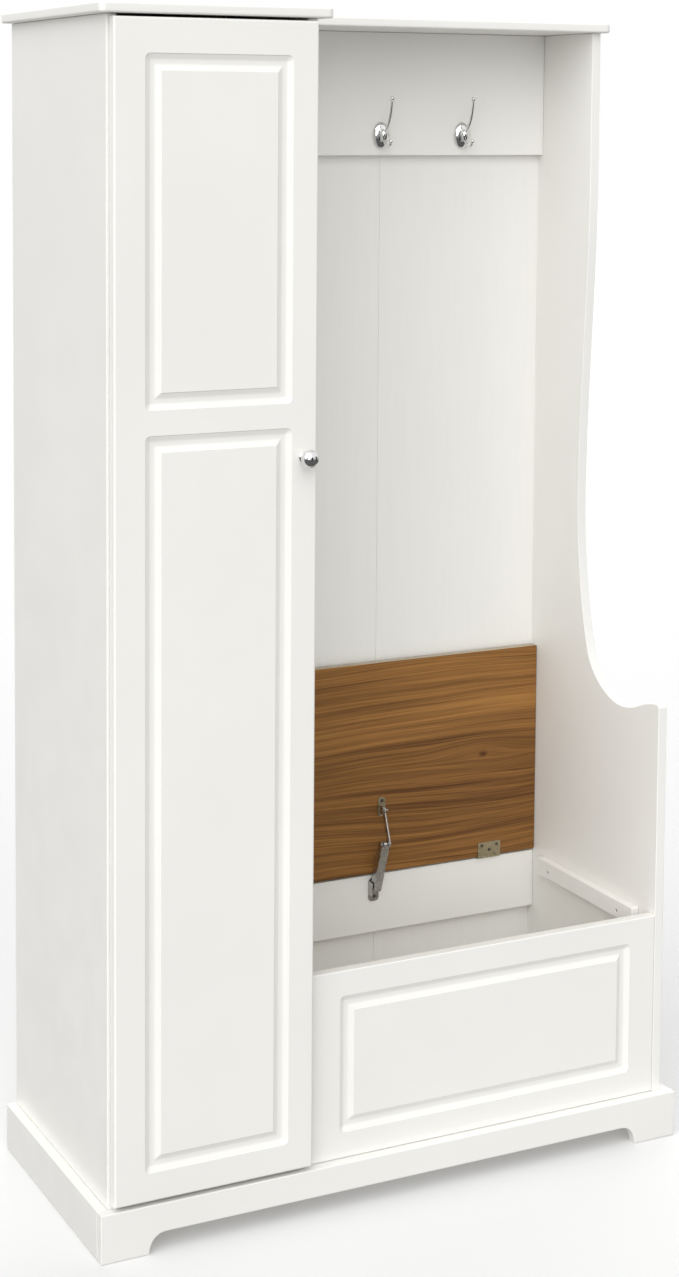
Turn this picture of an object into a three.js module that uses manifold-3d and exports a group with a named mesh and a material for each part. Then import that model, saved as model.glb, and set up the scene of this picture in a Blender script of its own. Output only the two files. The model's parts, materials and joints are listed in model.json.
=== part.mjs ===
// Hall tree with hooks: a tall cupboard with one overlay door, and beside it an open bay with a
// hook rail over a storage bench whose wooden lid lifts against the back.
// Millimetres, +Z up, front towards -Y. Everything is laid out from the plinth's front left bottom
// corner; placeAll() at the end moves the origin to the middle of the footprint.

import * as THREE from 'three';
import { mergeVertices } from 'three/addons/utils/BufferGeometryUtils.js';
import Module from 'manifold-3d';

const wasm = await Module();
wasm.setup();

// ---- driving dimensions -------------------------------------------------------------------
const width = 996;
const depth = 410;
const height = 1800;
const board = 16;            // thickness of every panel
const fit = 0.3;             // clearance between pieces that touch
const plinthHeight = 73;
const topThickness = 15;
const cupboardWidth = 328.4; // outside of the tall cupboard
const benchHeight = 365;     // top of the bench front and of the lid supports
const easing = 1.2;          // softened edge of a board

// ---- levels and planes worked out from them -----------------------------------------------
const leftOuter = board + fit;
const leftInner = leftOuter + board;
const partitionRight = leftOuter + cupboardWidth;
const partitionLeft = partitionRight - board;
const rightOuter = width - board - fit;
const rightInner = rightOuter - board;
const bayMiddle = (partitionRight + rightInner) / 2;
const carcassFront = board + fit;
const underTop = height - topThickness;
const panelTop = underTop - fit;
const backSheet = 3;
const backFace = depth - 15;             // front of the thin back sheets
const grooveDepth = 5;
const deckTop = plinthHeight;
const railFace = backFace - 15;          // front of the rails fixed to the back

const white = { color: 0xeeede9, roughness: 0.45, metalness: 0 };
const walnut = { color: 0x9a6536, roughness: 0.5, metalness: 0 };
const chrome = { color: 0xd4d6d8, roughness: 0.12, metalness: 1 };
const zinc = { color: 0xbdb59a, roughness: 0.4, metalness: 1 };
const steel = { color: 0xa9aaab, roughness: 0.35, metalness: 1 };
const greyPlastic = { color: 0x8d8f90, roughness: 0.6, metalness: 0 };

const hallTree = new THREE.Group();

function addPart(name, geometry, finish) {
  const mesh = new THREE.Mesh(geometry, new THREE.MeshStandardMaterial(finish));
  mesh.name = name;
  hallTree.add(mesh);
}

// ---- solids and cuts ----------------------------------------------------------------------
function toSolid(geometry) {
  const bare = geometry.clone();
  bare.deleteAttribute('normal');
  bare.deleteAttribute('uv');
  const merged = mergeVertices(bare, 1e-4);
  return new wasm.Manifold(new wasm.Mesh({
    numProp: 3,
    vertProperties: Float32Array.from(merged.attributes.position.array),
    triVerts: Uint32Array.from(merged.index.array),
  }));
}

function toGeometry(solid) {
  const mesh = solid.getMesh();
  const geometry = new THREE.BufferGeometry();
  geometry.setAttribute('position', new THREE.BufferAttribute(mesh.vertProperties, 3));
  geometry.setIndex(new THREE.BufferAttribute(mesh.triVerts, 1));
  geometry.computeVertexNormals();
  return geometry;
}

function cut(geometry, ...tools) {
  return toGeometry(tools.reduce((solid, tool) => solid.subtract(toSolid(tool)), toSolid(geometry)));
}

function join(geometry, ...others) {
  return toGeometry(others.reduce((solid, other) => solid.add(toSolid(other)), toSolid(geometry)));
}

const xAxis = new THREE.Vector3(1, 0, 0);
const yAxis = new THREE.Vector3(0, 1, 0);
const zAxis = new THREE.Vector3(0, 0, 1);
const axesForX = new THREE.Matrix4().makeBasis(yAxis, zAxis, xAxis);
const axesForY = new THREE.Matrix4().makeBasis(xAxis, zAxis, yAxis.clone().negate());

// outline in (y, z), thickness from x0 to x1
function extrudeAlongX(outline, x0, x1, bevel = 0) {
  return extrude(outline, x1 - x0, bevel).applyMatrix4(axesForX).translate(x0, 0, 0);
}

// outline in (x, z), thickness from y0 back to y1
function extrudeAlongY(outline, y0, y1, bevel = 0) {
  return extrude(outline, y1 - y0, bevel).applyMatrix4(axesForY).translate(0, y1, 0);
}

// outline in (x, y), thickness from z0 up to z1
function extrudeAlongZ(outline, z0, z1, bevel = 0) {
  return extrude(outline, z1 - z0, bevel).translate(0, 0, z0);
}

function extrude(outline, thickness, bevel) {
  const geometry = new THREE.ExtrudeGeometry(outline, {
    depth: thickness - 2 * bevel,
    bevelEnabled: bevel > 0,
    bevelThickness: bevel,
    bevelSize: bevel,
    bevelOffset: -bevel,
    bevelSegments: 1,
    curveSegments: 8,
  });
  return geometry.translate(0, 0, bevel);
}

// rectangle with its corners rounded
function roundedRectangle(x0, x1, y0, y1, radius) {
  const shape = new THREE.Shape();
  shape.absarc(x1 - radius, y0 + radius, radius, -Math.PI / 2, 0);
  shape.absarc(x1 - radius, y1 - radius, radius, 0, Math.PI / 2);
  shape.absarc(x0 + radius, y1 - radius, radius, Math.PI / 2, Math.PI);
  shape.absarc(x0 + radius, y0 + radius, radius, Math.PI, 1.5 * Math.PI);
  return shape;
}

function plainRectangle(x0, x1, y0, y1) {
  return new THREE.Shape([
    new THREE.Vector2(x0, y0), new THREE.Vector2(x1, y0),
    new THREE.Vector2(x1, y1), new THREE.Vector2(x0, y1),
  ]);
}

function block(x0, x1, y0, y1, z0, z1) {
  return new THREE.BoxGeometry(x1 - x0, y1 - y0, z1 - z0)
    .translate((x0 + x1) / 2, (y0 + y1) / 2, (z0 + z1) / 2);
}

// a board whose edges around its broad faces are softened; thin says which way it is thin
function easedBoard(x0, x1, y0, y1, z0, z1, thin) {
  if (thin === 'x') {
    return extrudeAlongX(plainRectangle(y0, y1, z0, z1), x0, x1, easing);
  }
  if (thin === 'y') {
    return extrudeAlongY(plainRectangle(x0, x1, z0, z1), y0, y1, easing);
  }
  return extrudeAlongZ(plainRectangle(x0, x1, y0, y1), z0, z1, easing);
}

// round bar along X through (y, z)
function barAlongX(radius, x0, x1, y, z, sides = 14) {
  return new THREE.CylinderGeometry(radius, radius, x1 - x0, sides)
    .rotateZ(Math.PI / 2).translate((x0 + x1) / 2, y, z);
}

// round bar along Y through (x, z)
function barAlongY(radius, y0, y1, x, z, sides = 12) {
  return new THREE.CylinderGeometry(radius, radius, y1 - y0, sides).translate(x, (y0 + y1) / 2, z);
}

// turned piece whose axis runs along -Y from (x, y, z); profile is (radius, distance out)
function turned(profile, x, y, z, sides) {
  const points = profile.map(([r, out]) => new THREE.Vector2(r, out));
  return new THREE.LatheGeometry(points, sides).rotateX(Math.PI).translate(x, y, z);
}

// ---- plinth -------------------------------------------------------------------------------
const footWidth = 75;
const archHeight = 30;
const archRun = 29;      // width of the curve from a foot up to the rail
const archLead = 3;      // how far the curve's control point stands in from the foot

function plinthFrontRail() {
  const outline = new THREE.Shape();
  outline.moveTo(0, 0);
  outline.lineTo(footWidth, 0);
  outline.quadraticCurveTo(footWidth + archLead, archHeight, footWidth + archRun, archHeight);
  outline.lineTo(width - footWidth - archRun, archHeight);
  outline.quadraticCurveTo(width - footWidth - archLead, archHeight, width - footWidth, 0);
  outline.lineTo(width, 0);
  outline.lineTo(width, plinthHeight);
  outline.lineTo(0, plinthHeight);
  addPart('plinth_front_rail', extrudeAlongY(outline, 0, board, easing), white);
}

function plinthSideRail(name, x0) {
  const rail = easedBoard(x0, x0 + board, board + fit, depth, 0, plinthHeight, 'x');
  addPart(name, rail, white);
}

// ---- carcass ------------------------------------------------------------------------------
const backGroove = (x0, x1) => block(x0, x1, backFace - fit, backFace + backSheet + fit, -1, height);

function leftSidePanel() {
  const panel = easedBoard(leftOuter, leftInner, carcassFront, depth, 0, panelTop, 'x');
  const grooved = cut(panel, backGroove(leftInner - grooveDepth, leftInner + 1));
  addPart('left_side_panel', grooved, white);
}

// The partition stops above the arch of the plinth rail and stands between the two decks.
function partitionPanel() {
  const z0 = archHeight + 4;
  const panel = easedBoard(partitionLeft, partitionRight, carcassFront, depth, z0, panelTop, 'x');
  const grooved = cut(
    panel,
    backGroove(partitionLeft - 1, partitionLeft + grooveDepth),
    backGroove(partitionRight - grooveDepth, partitionRight + 1),
  );
  addPart('partition_panel', grooved, white);
}

// The right side is full depth beside the bench and sweeps back to a narrow upright above it.
const armRestFront = 709;   // height of its front corner
const armRestDip = 684;     // lowest point of the sweep
const uprightFront = 235;   // front of the narrow part under the top
const uprightWaist = 257;   // front of the narrow part where it is slimmest

function rightSidePanel() {
  const corner = 8;
  const outline = new THREE.Shape();
  outline.moveTo(carcassFront, 0);
  outline.lineTo(depth, 0);
  outline.lineTo(depth, panelTop);
  outline.lineTo(uprightFront, panelTop);
  outline.lineTo(uprightFront, 1530);
  outline.bezierCurveTo(uprightFront, 1370, uprightWaist, 1200, uprightWaist, 1010);
  outline.bezierCurveTo(uprightWaist, 905, 238, 807, 221, 755);
  outline.bezierCurveTo(207, 712, 158, armRestDip, 122, armRestDip);
  outline.bezierCurveTo(80, armRestDip, 62, armRestFront - 2, carcassFront + corner, armRestFront);
  outline.quadraticCurveTo(carcassFront, armRestFront, carcassFront, armRestFront - corner);
  const panel = extrudeAlongX(outline, rightInner, rightOuter, easing);
  const grooved = cut(panel, backGroove(rightInner - 1, rightInner + grooveDepth));
  addPart('right_side_panel', grooved, white);
}

function decks() {
  const rear = backFace - fit;
  const z0 = deckTop - board;
  const cupboard = [leftInner + fit, partitionLeft - fit];
  const bench = [partitionRight + fit, rightInner - fit];
  addPart('cupboard_floor', easedBoard(...cupboard, carcassFront, rear, z0, deckTop, 'z'), white);
  addPart('bench_floor', easedBoard(...bench, carcassFront, rear, z0, deckTop - fit, 'z'), white);
}

const shelfCount = 4;
const shelfGap = (underTop - deckTop - shelfCount * board) / (shelfCount + 1);

function shelves() {
  const setBack = 14;
  const front = carcassFront + setBack;
  for (let i = 1; i <= shelfCount; i += 1) {
    const z0 = deckTop + i * shelfGap + (i - 1) * board;
    const shelf = easedBoard(
      leftInner + fit, partitionLeft - fit, front, backFace - fit, z0, z0 + board, 'z');
    addPart(`shelf_${i}`, shelf, white);
  }
}

// ---- tops ---------------------------------------------------------------------------------
const topOverhang = 18;
const topFront = -4;
const topCorner = 10;
const topEasing = 2;
const hallTopOverhang = 13;

// rectangle with only its front corners rounded, each when asked
function topOutline(x0, x1, y0, y1, roundLeft, roundRight) {
  const shape = new THREE.Shape();
  if (roundRight) {
    shape.absarc(x1 - topCorner, y0 + topCorner, topCorner, -Math.PI / 2, 0);
  } else {
    shape.moveTo(x1, y0);
  }
  shape.lineTo(x1, y1);
  shape.lineTo(x0, y1);
  if (roundLeft) {
    shape.absarc(x0 + topCorner, y0 + topCorner, topCorner, Math.PI, 1.5 * Math.PI);
  } else {
    shape.lineTo(x0, y0);
  }
  return shape;
}

const cupboardTopRight = partitionRight + topOverhang;

function tops() {
  const cupboard = topOutline(0, cupboardTopRight, topFront, depth, true, true);
  addPart('cupboard_top', extrudeAlongZ(cupboard, underTop, height, topEasing), white);
  const hallFront = uprightFront - hallTopOverhang;
  const hallRight = rightOuter + hallTopOverhang;
  const hall = topOutline(cupboardTopRight + fit, hallRight, hallFront, depth, false, true);
  addPart('hall_top', extrudeAlongZ(hall, underTop, height, topEasing), white);
}

// ---- back ---------------------------------------------------------------------------------
function backSheetBetween(name, x0, x1) {
  const z0 = deckTop + fit;
  addPart(name, block(x0, x1, backFace, backFace + backSheet, z0, panelTop), white);
}

function backSheets() {
  const inGroove = grooveDepth - 2 * fit;
  backSheetBetween('cupboard_back_sheet', leftInner - inGroove, partitionLeft + inGroove);
  backSheetBetween('hall_back_sheet_left', partitionRight - inGroove, bayMiddle - fit / 2);
  backSheetBetween('hall_back_sheet_right', bayMiddle + fit / 2, rightInner + inGroove);
}

const hookRailBottom = 1582;
const rearRailBottom = 265;

function bayRails() {
  const x0 = partitionRight + fit;
  const x1 = rightInner - fit;
  const rear = backFace - fit;
  addPart('hook_rail', easedBoard(x0, x1, railFace, rear, hookRailBottom, panelTop, 'y'), white);
  addPart('bench_rear_rail', easedBoard(x0, x1, railFace, rear, rearRailBottom, benchHeight, 'y'), white);
}

// ---- routed panels ------------------------------------------------------------------------
const routedWidth = 24;
const routedDepth = 5;
const routedWall = 10;      // width of each sloping wall of the groove

// A frame-shaped groove in a front face at y: sloping outer walls less a sloping plateau inside.
function routedGroove(x0, x1, z0, z1, y) {
  const sheet = 0.02;
  const outer = taperedBlock(x0, x1, z0, z1, y, sheet, 8);
  const g = routedWidth - routedWall;
  const inner = taperedBlock(x0 + g, x1 - g, z0 + g, z1 - g, y + routedDepth, sheet, 0.5);
  return toGeometry(toSolid(outer).subtract(toSolid(inner)));
}

// widest at plane y and one routed wall narrower at routedDepth in front of it and behind it
function taperedBlock(x0, x1, z0, z1, y, sheet, radius) {
  const geometry = new THREE.ExtrudeGeometry(roundedRectangle(x0, x1, z0, z1, radius + routedWall), {
    depth: sheet,
    bevelEnabled: true,
    bevelThickness: routedDepth,
    bevelSize: routedWall,
    bevelOffset: -routedWall,
    bevelSegments: 1,
    curveSegments: 4,
  });
  return geometry.applyMatrix4(axesForY).translate(0, y + sheet / 2, 0);
}

function benchFrontPanel() {
  const x0 = partitionRight + fit;
  const x1 = rightInner - fit;
  const z0 = plinthHeight + fit;
  const panel = easedBoard(x0, x1, carcassFront, carcassFront + board, z0, benchHeight - fit, 'y');
  const side = 47.5;
  const below = 40;
  const above = 39;
  const groove = routedGroove(x0 + side, x1 - side, z0 + below, benchHeight - above, carcassFront);
  addPart('bench_front_panel', cut(panel, groove), white);
}

// ---- door ---------------------------------------------------------------------------------
const doorLeft = 20.5;
const doorRight = 338;
const doorFront = -1.7;
const doorBack = doorFront + board;
const doorBottom = 80;
const doorTop = 1780.5;
const hingeHeights = [180, 930, 1680];
const cupMiddle = doorLeft + 21.5;
const knobX = 316.5;
const knobZ = 1151;

const cupBore = 17.6;
const cupDepth = 12;

function doorPanel() {
  const doorEasing = 2;
  const panel = extrudeAlongY(
    plainRectangle(doorLeft, doorRight, doorBottom, doorTop), doorFront, doorBack, doorEasing);
  const left = doorLeft + 47.5;
  const right = doorRight - 41;
  const top = doorTop - 50;
  const bottom = doorBottom + 43;
  const middleRailTop = 1231;
  const middleRailBottom = 1194.5;
  const screwHole = barAlongY(2.3, doorFront - 1, doorBack + 1, knobX, knobZ);
  const cupBores = hingeHeights.map(
    (z) => barAlongY(cupBore, doorBack - cupDepth, doorBack + 1, cupMiddle, z, 32));
  const cuts = [
    routedGroove(left, right, middleRailTop, top, doorFront),
    routedGroove(left, right, bottom, middleRailBottom, doorFront),
    screwHole,
    ...cupBores,
  ];
  addPart('door_panel', cut(panel, ...cuts), white);
}

const knobReach = 32;

function doorKnob() {
  const headRadius = 13.4;
  const headMiddle = 20.5;
  const headHalf = knobReach - headMiddle;
  const profile = [[0, 0], [8.3, 0], [8.3, 2], [6.4, 3.6], [5.6, 6], [5.8, 9]];
  const start = -Math.PI / 3;
  const steps = 9;
  for (let i = 1; i < steps; i += 1) {
    const angle = start + (i / steps) * (Math.PI / 2 - start);
    profile.push([headRadius * Math.cos(angle), headMiddle + headHalf * Math.sin(angle)]);
  }
  profile.push([0, knobReach]);
  addPart('door_knob', turned(profile, knobX, doorFront - fit, knobZ, 24), chrome);
  const screwHead = barAlongY(4, doorBack + fit, doorBack + 1.7, knobX, knobZ);
  const shank = barAlongY(2, doorFront, doorBack + 1, knobX, knobZ);
  addPart('door_knob_screw', join(screwHead, shank), steel);
}

function hingeCup(number, z) {
  const rim = 1.2;
  const outside = 17.3;
  const inside = 16;
  const floor = 11.5;
  const profile = [
    [0, -floor], [outside, -floor], [outside, fit], [19, fit], [19, fit + rim],
    [inside, fit + rim], [inside, rim - floor], [0, rim - floor],
  ];
  const points = profile.map(([r, out]) => new THREE.Vector2(r, out));
  const cup = new THREE.LatheGeometry(points, 28).translate(cupMiddle, doorBack, z);
  addPart(`hinge_cup_${number}`, cup, steel);
}

const armInner = leftInner + 4.5;

function hingeArm(number, z) {
  const outline = new THREE.Shape([
    new THREE.Vector2(armInner - 1.5, 10), new THREE.Vector2(armInner + 6, 10),
    new THREE.Vector2(armInner + 6, 22), new THREE.Vector2(armInner + 4, 28),
    new THREE.Vector2(armInner + 4, 72), new THREE.Vector2(armInner, 72),
    new THREE.Vector2(armInner, 27), new THREE.Vector2(armInner - 1.5, 22),
  ]);
  addPart(`hinge_arm_${number}`, extrudeAlongZ(outline, z - 7, z + 7, 0.6), steel);
}

function hingePlate(number, z) {
  const outline = roundedRectangle(37, 72, z - 24, z + 24, 6);
  addPart(`hinge_plate_${number}`, extrudeAlongX(outline, leftInner + fit, armInner - fit), steel);
}

function cupHinges() {
  hingeHeights.forEach((z, i) => {
    hingeCup(i + 1, z);
    hingeArm(i + 1, z);
    hingePlate(i + 1, z);
  });
}

function magneticCatch() {
  const x1 = partitionLeft - fit;
  const front = carcassFront + 1;
  const halfHeight = 23;
  const housing = block(x1 - 13, x1, front, front + 28.7, knobZ - halfHeight, knobZ + halfHeight);
  addPart('magnet_catch', housing, greyPlastic);
  const plate = block(x1 - 15, x1 - 1, doorBack + fit, doorBack + 1.5, knobZ + 8, knobZ + 22);
  addPart('catch_plate', plate, steel);
}

// ---- hooks --------------------------------------------------------------------------------
const hookSpacing = 154.4;
const hookZ = 1615.5;
const hookOffset = -7.6;    // of the middle hook from the middle of the bay
const hookPositions = [-1, 0, 1].map((i) => bayMiddle + hookOffset + i * hookSpacing);
const hookPlateRise = 9;
const hookPlateWide = 31;
const hookPlateTall = 44;

// a domed disc stretched into an upright oval
function hookPlate(number, x) {
  const half = hookPlateWide / 2;
  const dome = [[0, 0], [half - 1, 0], [half, 1.2], [half - 1.5, 4.4], [half - 6, 7.6], [0, hookPlateRise]];
  const plate = turned(dome, 0, 0, 0, 24).scale(1, 1, hookPlateTall / hookPlateWide);
  addPart(`hook_plate_${number}`, plate.translate(x, railFace - fit, hookZ), chrome);
}

// One casting: a foot on the plate, a long prong sweeping up and out, and a short one below.
function hookProngs(number, x) {
  const face = railFace - hookPlateRise - 2 * fit;
  const at = (out, up) => new THREE.Vector3(x, face - out, hookZ + up);
  const upperTip = at(29, 60);
  const lowerTip = at(26, -10);
  const upper = new THREE.CatmullRomCurve3([at(1, 4), at(11, 16), at(24, 36), upperTip]);
  const lower = new THREE.CatmullRomCurve3([at(1, -4), at(9, -14), at(19, -18), lowerTip]);
  const rod = (curve, radius) => {
    const section = new THREE.Shape();
    section.absarc(0, 0, radius, 0, 2 * Math.PI);
    return new THREE.ExtrudeGeometry(section, {
      steps: 9, curveSegments: 5, bevelEnabled: false, extrudePath: curve,
    });
  };
  const tip = (point, radius) => new THREE.SphereGeometry(radius, 12, 8)
    .translate(point.x, point.y, point.z);
  const foot = new THREE.SphereGeometry(6.2, 14, 10).scale(1, 0.8, 1.5)
    .translate(x, face - 5, hookZ);
  const casting = join(
    foot, rod(upper, 2.2), rod(lower, 2.3), tip(upperTip, 3.4), tip(lowerTip, 3.2));
  addPart(`hook_prongs_${number}`, casting, chrome);
}

function hooks() {
  hookPositions.forEach((x, i) => {
    hookPlate(i + 1, x);
    hookProngs(i + 1, x);
  });
}

// ---- bench lid ----------------------------------------------------------------------------
// The lid is modelled lifted, standing against the back. It turns about the hinge pins.
const pinY = 377.5;
const pinZ = 367.8;
const lidFront = 375;       // its underside, which faces forward when it is lifted
const lidBottom = 369;
const lidTop = 731;
const lidHingeX = [bayMiddle - 215.4, bayMiddle + 215.4];
const lidHingeWidth = 45;

const knuckle = 3.2;
const knuckleCount = 5;

// The lid's rear edge is notched round the barrels of its hinges.
function lidBoard() {
  const lid = easedBoard(
    partitionRight + 1.2, rightInner - 1.5, lidFront, lidFront + board, lidBottom, lidTop, 'y');
  const reach = lidHingeWidth / 2 + 1;
  const notchTop = pinZ + knuckle + 0.8;
  const notches = lidHingeX.map(
    (x) => block(x - reach, x + reach, lidFront - 1, lidFront + board + 1, lidBottom - 1, notchTop));
  addPart('lid_board', cut(lid, ...notches), walnut);
}

function lidSupports() {
  const z0 = benchHeight - 30;
  const span = [60, 343];
  const wide = 15;
  const left = partitionRight + fit;
  const right = rightInner - fit;
  addPart('lid_support_left', easedBoard(left, left + wide, ...span, z0, benchHeight, 'x'), white);
  addPart('lid_support_right', easedBoard(right - wide, right, ...span, z0, benchHeight, 'x'), white);
}

const leafThickness = 1.1;

// every second length of the hinge's barrel from the first one asked for, made longer by extra
function barrel(x0, first, radius, extra) {
  const length = lidHingeWidth / knuckleCount;
  const rings = [];
  for (let i = first; i < knuckleCount; i += 2) {
    const start = x0 + i * length;
    rings.push(barAlongX(radius, start - extra, start + length + extra, pinY, pinZ));
  }
  return rings;
}

const knuckles = (x0, first) => barrel(x0, first, knuckle, -fit / 2);
const knuckleGaps = (x0, first) => barrel(x0, first, knuckle + 1, fit / 2);

function lidHinge(side, middle) {
  const x0 = middle - lidHingeWidth / 2;
  const x1 = x0 + lidHingeWidth;
  const leafHeight = 26;
  const pinRadius = 1.1;
  const bore = barAlongX(pinRadius + 0.05, x0 - 1, x1 + 1, pinY, pinZ, 12);
  const leafFace = lidFront - fit - leafThickness;
  const lidLeaf = join(
    block(x0, x1, leafFace, lidFront - fit, pinZ, pinZ + leafHeight), ...knuckles(x0, 0));
  addPart(`hinge_lid_leaf_${side}`, cut(lidLeaf, ...knuckleGaps(x0, 1), bore), zinc);
  const railLeafTop = benchHeight + fit + leafThickness;
  const railLeaf = join(
    block(x0, x1, pinY, backFace - 2, benchHeight + fit, railLeafTop), ...knuckles(x0, 1));
  addPart(`hinge_rail_leaf_${side}`, cut(railLeaf, ...knuckleGaps(x0, 0), bore), zinc);
  addPart(`hinge_pin_${side}`, barAlongX(pinRadius, x0 + fit, x1 - fit, pinY, pinZ, 12), zinc);
}

// ---- lid stay -----------------------------------------------------------------------------
// A channel on a bracket, and a flat arm from its end to a plate on the lid's underside.
const stayX = bayMiddle - 9;            // middle of the channel
const stayBase = new THREE.Vector2(371, 344);
const stayElbow = new THREE.Vector2(343, 428);
const stayLid = new THREE.Vector2(363, 480);
const pivot = 1.6;
const channelHalf = 7.5;
const armLeft = stayX + channelHalf + 1;
const armRight = armLeft + 2.4;

const yzPoint = (p) => [p.x, p.y];

function stayBracket() {
  const face = railFace - fit;
  const x0 = stayX - channelHalf - 3;
  const sheet = 1.8;
  const middle = stayBase.y;
  const outline = roundedRectangle(x0, x0 + 20, middle - 24, middle + 16, 7);
  const plate = extrudeAlongY(outline, face - sheet, face);
  const ear = extrudeAlongX(
    roundedRectangle(365, face - 0.5, middle - 12, middle + 12, 5), x0, x0 + sheet);
  const pin = barAlongX(pivot, x0 + 0.5, stayX + channelHalf + 0.4, ...yzPoint(stayBase));
  addPart('stay_bracket', join(plate, ear, pin), steel);
}

// a bar with round ends between two pivots, seen along X
function linkOutline(from, to, radius) {
  const angle = Math.atan2(to.y - from.y, to.x - from.x);
  const shape = new THREE.Shape();
  shape.absarc(from.x, from.y, radius, angle + Math.PI / 2, angle + 1.5 * Math.PI);
  shape.absarc(to.x, to.y, radius, angle - Math.PI / 2, angle + Math.PI / 2);
  return shape;
}

function stayChannel() {
  const wall = 1.2;
  const x0 = stayX - channelHalf;
  const x1 = stayX + channelHalf;
  const rounding = 6.2;
  const body = extrudeAlongX(linkOutline(stayBase, stayElbow, rounding), x0, x1);
  const along = stayElbow.clone().sub(stayBase).normalize();
  const across = new THREE.Vector2(-along.y, along.x);
  const corner = (a, b) => stayBase.clone().addScaledVector(along, a).addScaledVector(across, b);
  const span = stayBase.distanceTo(stayElbow);
  const web = rounding - wall - 0.2;
  const beyond = 20;
  const hollow = new THREE.Shape([
    corner(-beyond, web), corner(-beyond, -beyond),
    corner(span + beyond, -beyond), corner(span + beyond, web),
  ]);
  const channel = cut(
    body,
    extrudeAlongX(hollow, x0 + wall, x1 - wall),
    barAlongX(pivot + 0.2, x0 - 1, x1 + 1, ...yzPoint(stayBase)),
    barAlongX(pivot + 0.05, x0 - 1, x1 + 1, ...yzPoint(stayElbow)),
  );
  addPart('stay_channel', channel, steel);
  const pin = barAlongX(pivot, x0 - 0.4, armRight + 1.2, ...yzPoint(stayElbow));
  const head = barAlongX(2 * pivot, armRight + fit, armRight + 1.5, ...yzPoint(stayElbow));
  addPart('stay_elbow_pin', join(pin, head), steel);
}

// The upper eye is open by more than the joint's play, so that the arm stays free of the lid pin.
function stayArm() {
  const play = 2.76;
  const openEye = pivot + play + fit;
  const upperEye = new THREE.Shape();
  upperEye.absarc(...yzPoint(stayLid), openEye + 1.6, 0, 2 * Math.PI);
  const arm = cut(
    join(
      extrudeAlongX(linkOutline(stayElbow, stayLid, 4.6), armLeft, armRight),
      extrudeAlongX(upperEye, armLeft, armRight)),
    barAlongX(pivot + 0.2, armLeft - 1, armRight + 1, ...yzPoint(stayElbow)),
    barAlongX(openEye, armLeft - 1, armRight + 1, ...yzPoint(stayLid), 18),
  );
  addPart('stay_arm', arm, steel);
}

function stayLidPlate() {
  const face = lidFront - fit;
  const x1 = armLeft - fit;
  const earX = x1 - 1.8;
  const middle = stayLid.y;
  const outline = roundedRectangle(earX - 2, earX + 12, middle - 13, middle + 20, 6.9);
  const plate = extrudeAlongY(outline, face - 1.6, face);
  const ear = extrudeAlongX(roundedRectangle(stayLid.x - 4.5, face - 0.5, middle - 7, middle + 7, 4), earX, x1);
  const pin = barAlongX(pivot, earX + 0.5, armRight + 1, ...yzPoint(stayLid));
  addPart('stay_lid_plate', join(plate, ear, pin), zinc);
}

class Coil extends THREE.Curve {
  constructor(start, end, radius, turns) {
    super();
    Object.assign(this, { start, end, radius, turns });
  }

  getPoint(t, target = new THREE.Vector3()) {
    const angle = 2 * Math.PI * this.turns * t;
    const along = this.end.clone().sub(this.start).normalize();
    const side = new THREE.Vector3(1, 0, 0);
    const other = along.clone().cross(side);
    return target.lerpVectors(this.start, this.end, t)
      .addScaledVector(side, this.radius * Math.cos(angle))
      .addScaledVector(other, this.radius * Math.sin(angle));
  }
}

function staySpring() {
  const along = stayElbow.clone().sub(stayBase).normalize();
  const across = new THREE.Vector2(-along.y, along.x);
  const place = (a) => {
    const p = stayBase.clone().addScaledVector(along, a).addScaledVector(across, -0.4);
    return new THREE.Vector3(stayX, p.x, p.y);
  };
  const section = new THREE.Shape();
  section.absarc(0, 0, 0.7, 0, 2 * Math.PI);
  const turns = 9;
  const stepsPerTurn = 9;
  const coil = new Coil(place(12), place(78), 3, turns);
  const spring = new THREE.ExtrudeGeometry(section, {
    steps: turns * stepsPerTurn, curveSegments: 3, bevelEnabled: false, extrudePath: coil,
  });
  addPart('stay_spring', spring, steel);
}

// ---- assembly -----------------------------------------------------------------------------
function placeAll() {
  const front = doorFront - fit - knobReach;
  for (const mesh of hallTree.children) {
    mesh.geometry.translate(-width / 2, -(front + depth) / 2, 0);
  }
}

plinthFrontRail();
plinthSideRail('plinth_left_rail', 0);
plinthSideRail('plinth_right_rail', width - board);
leftSidePanel();
partitionPanel();
rightSidePanel();
decks();
shelves();
tops();
backSheets();
bayRails();
benchFrontPanel();
lidSupports();
doorPanel();
doorKnob();
cupHinges();
magneticCatch();
hooks();
lidBoard();
lidHinge('left', lidHingeX[0]);
lidHinge('right', lidHingeX[1]);
stayBracket();
stayChannel();
stayArm();
stayLidPlate();
staySpring();
placeAll();

export default hallTree;
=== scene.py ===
"""Hall tree with hooks: a tall cupboard with one overlay door beside an open bay, a hook rail and a
storage bench whose walnut lid lifts against the back. Metres, front towards -Y, floor at z = 0."""

import json
import math

import bmesh
import bpy
import numpy as np
from bpy.props import FloatProperty, FloatVectorProperty, PointerProperty
from bpy.types import Operator, Panel, PropertyGroup
from mathutils import Matrix, Vector


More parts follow.
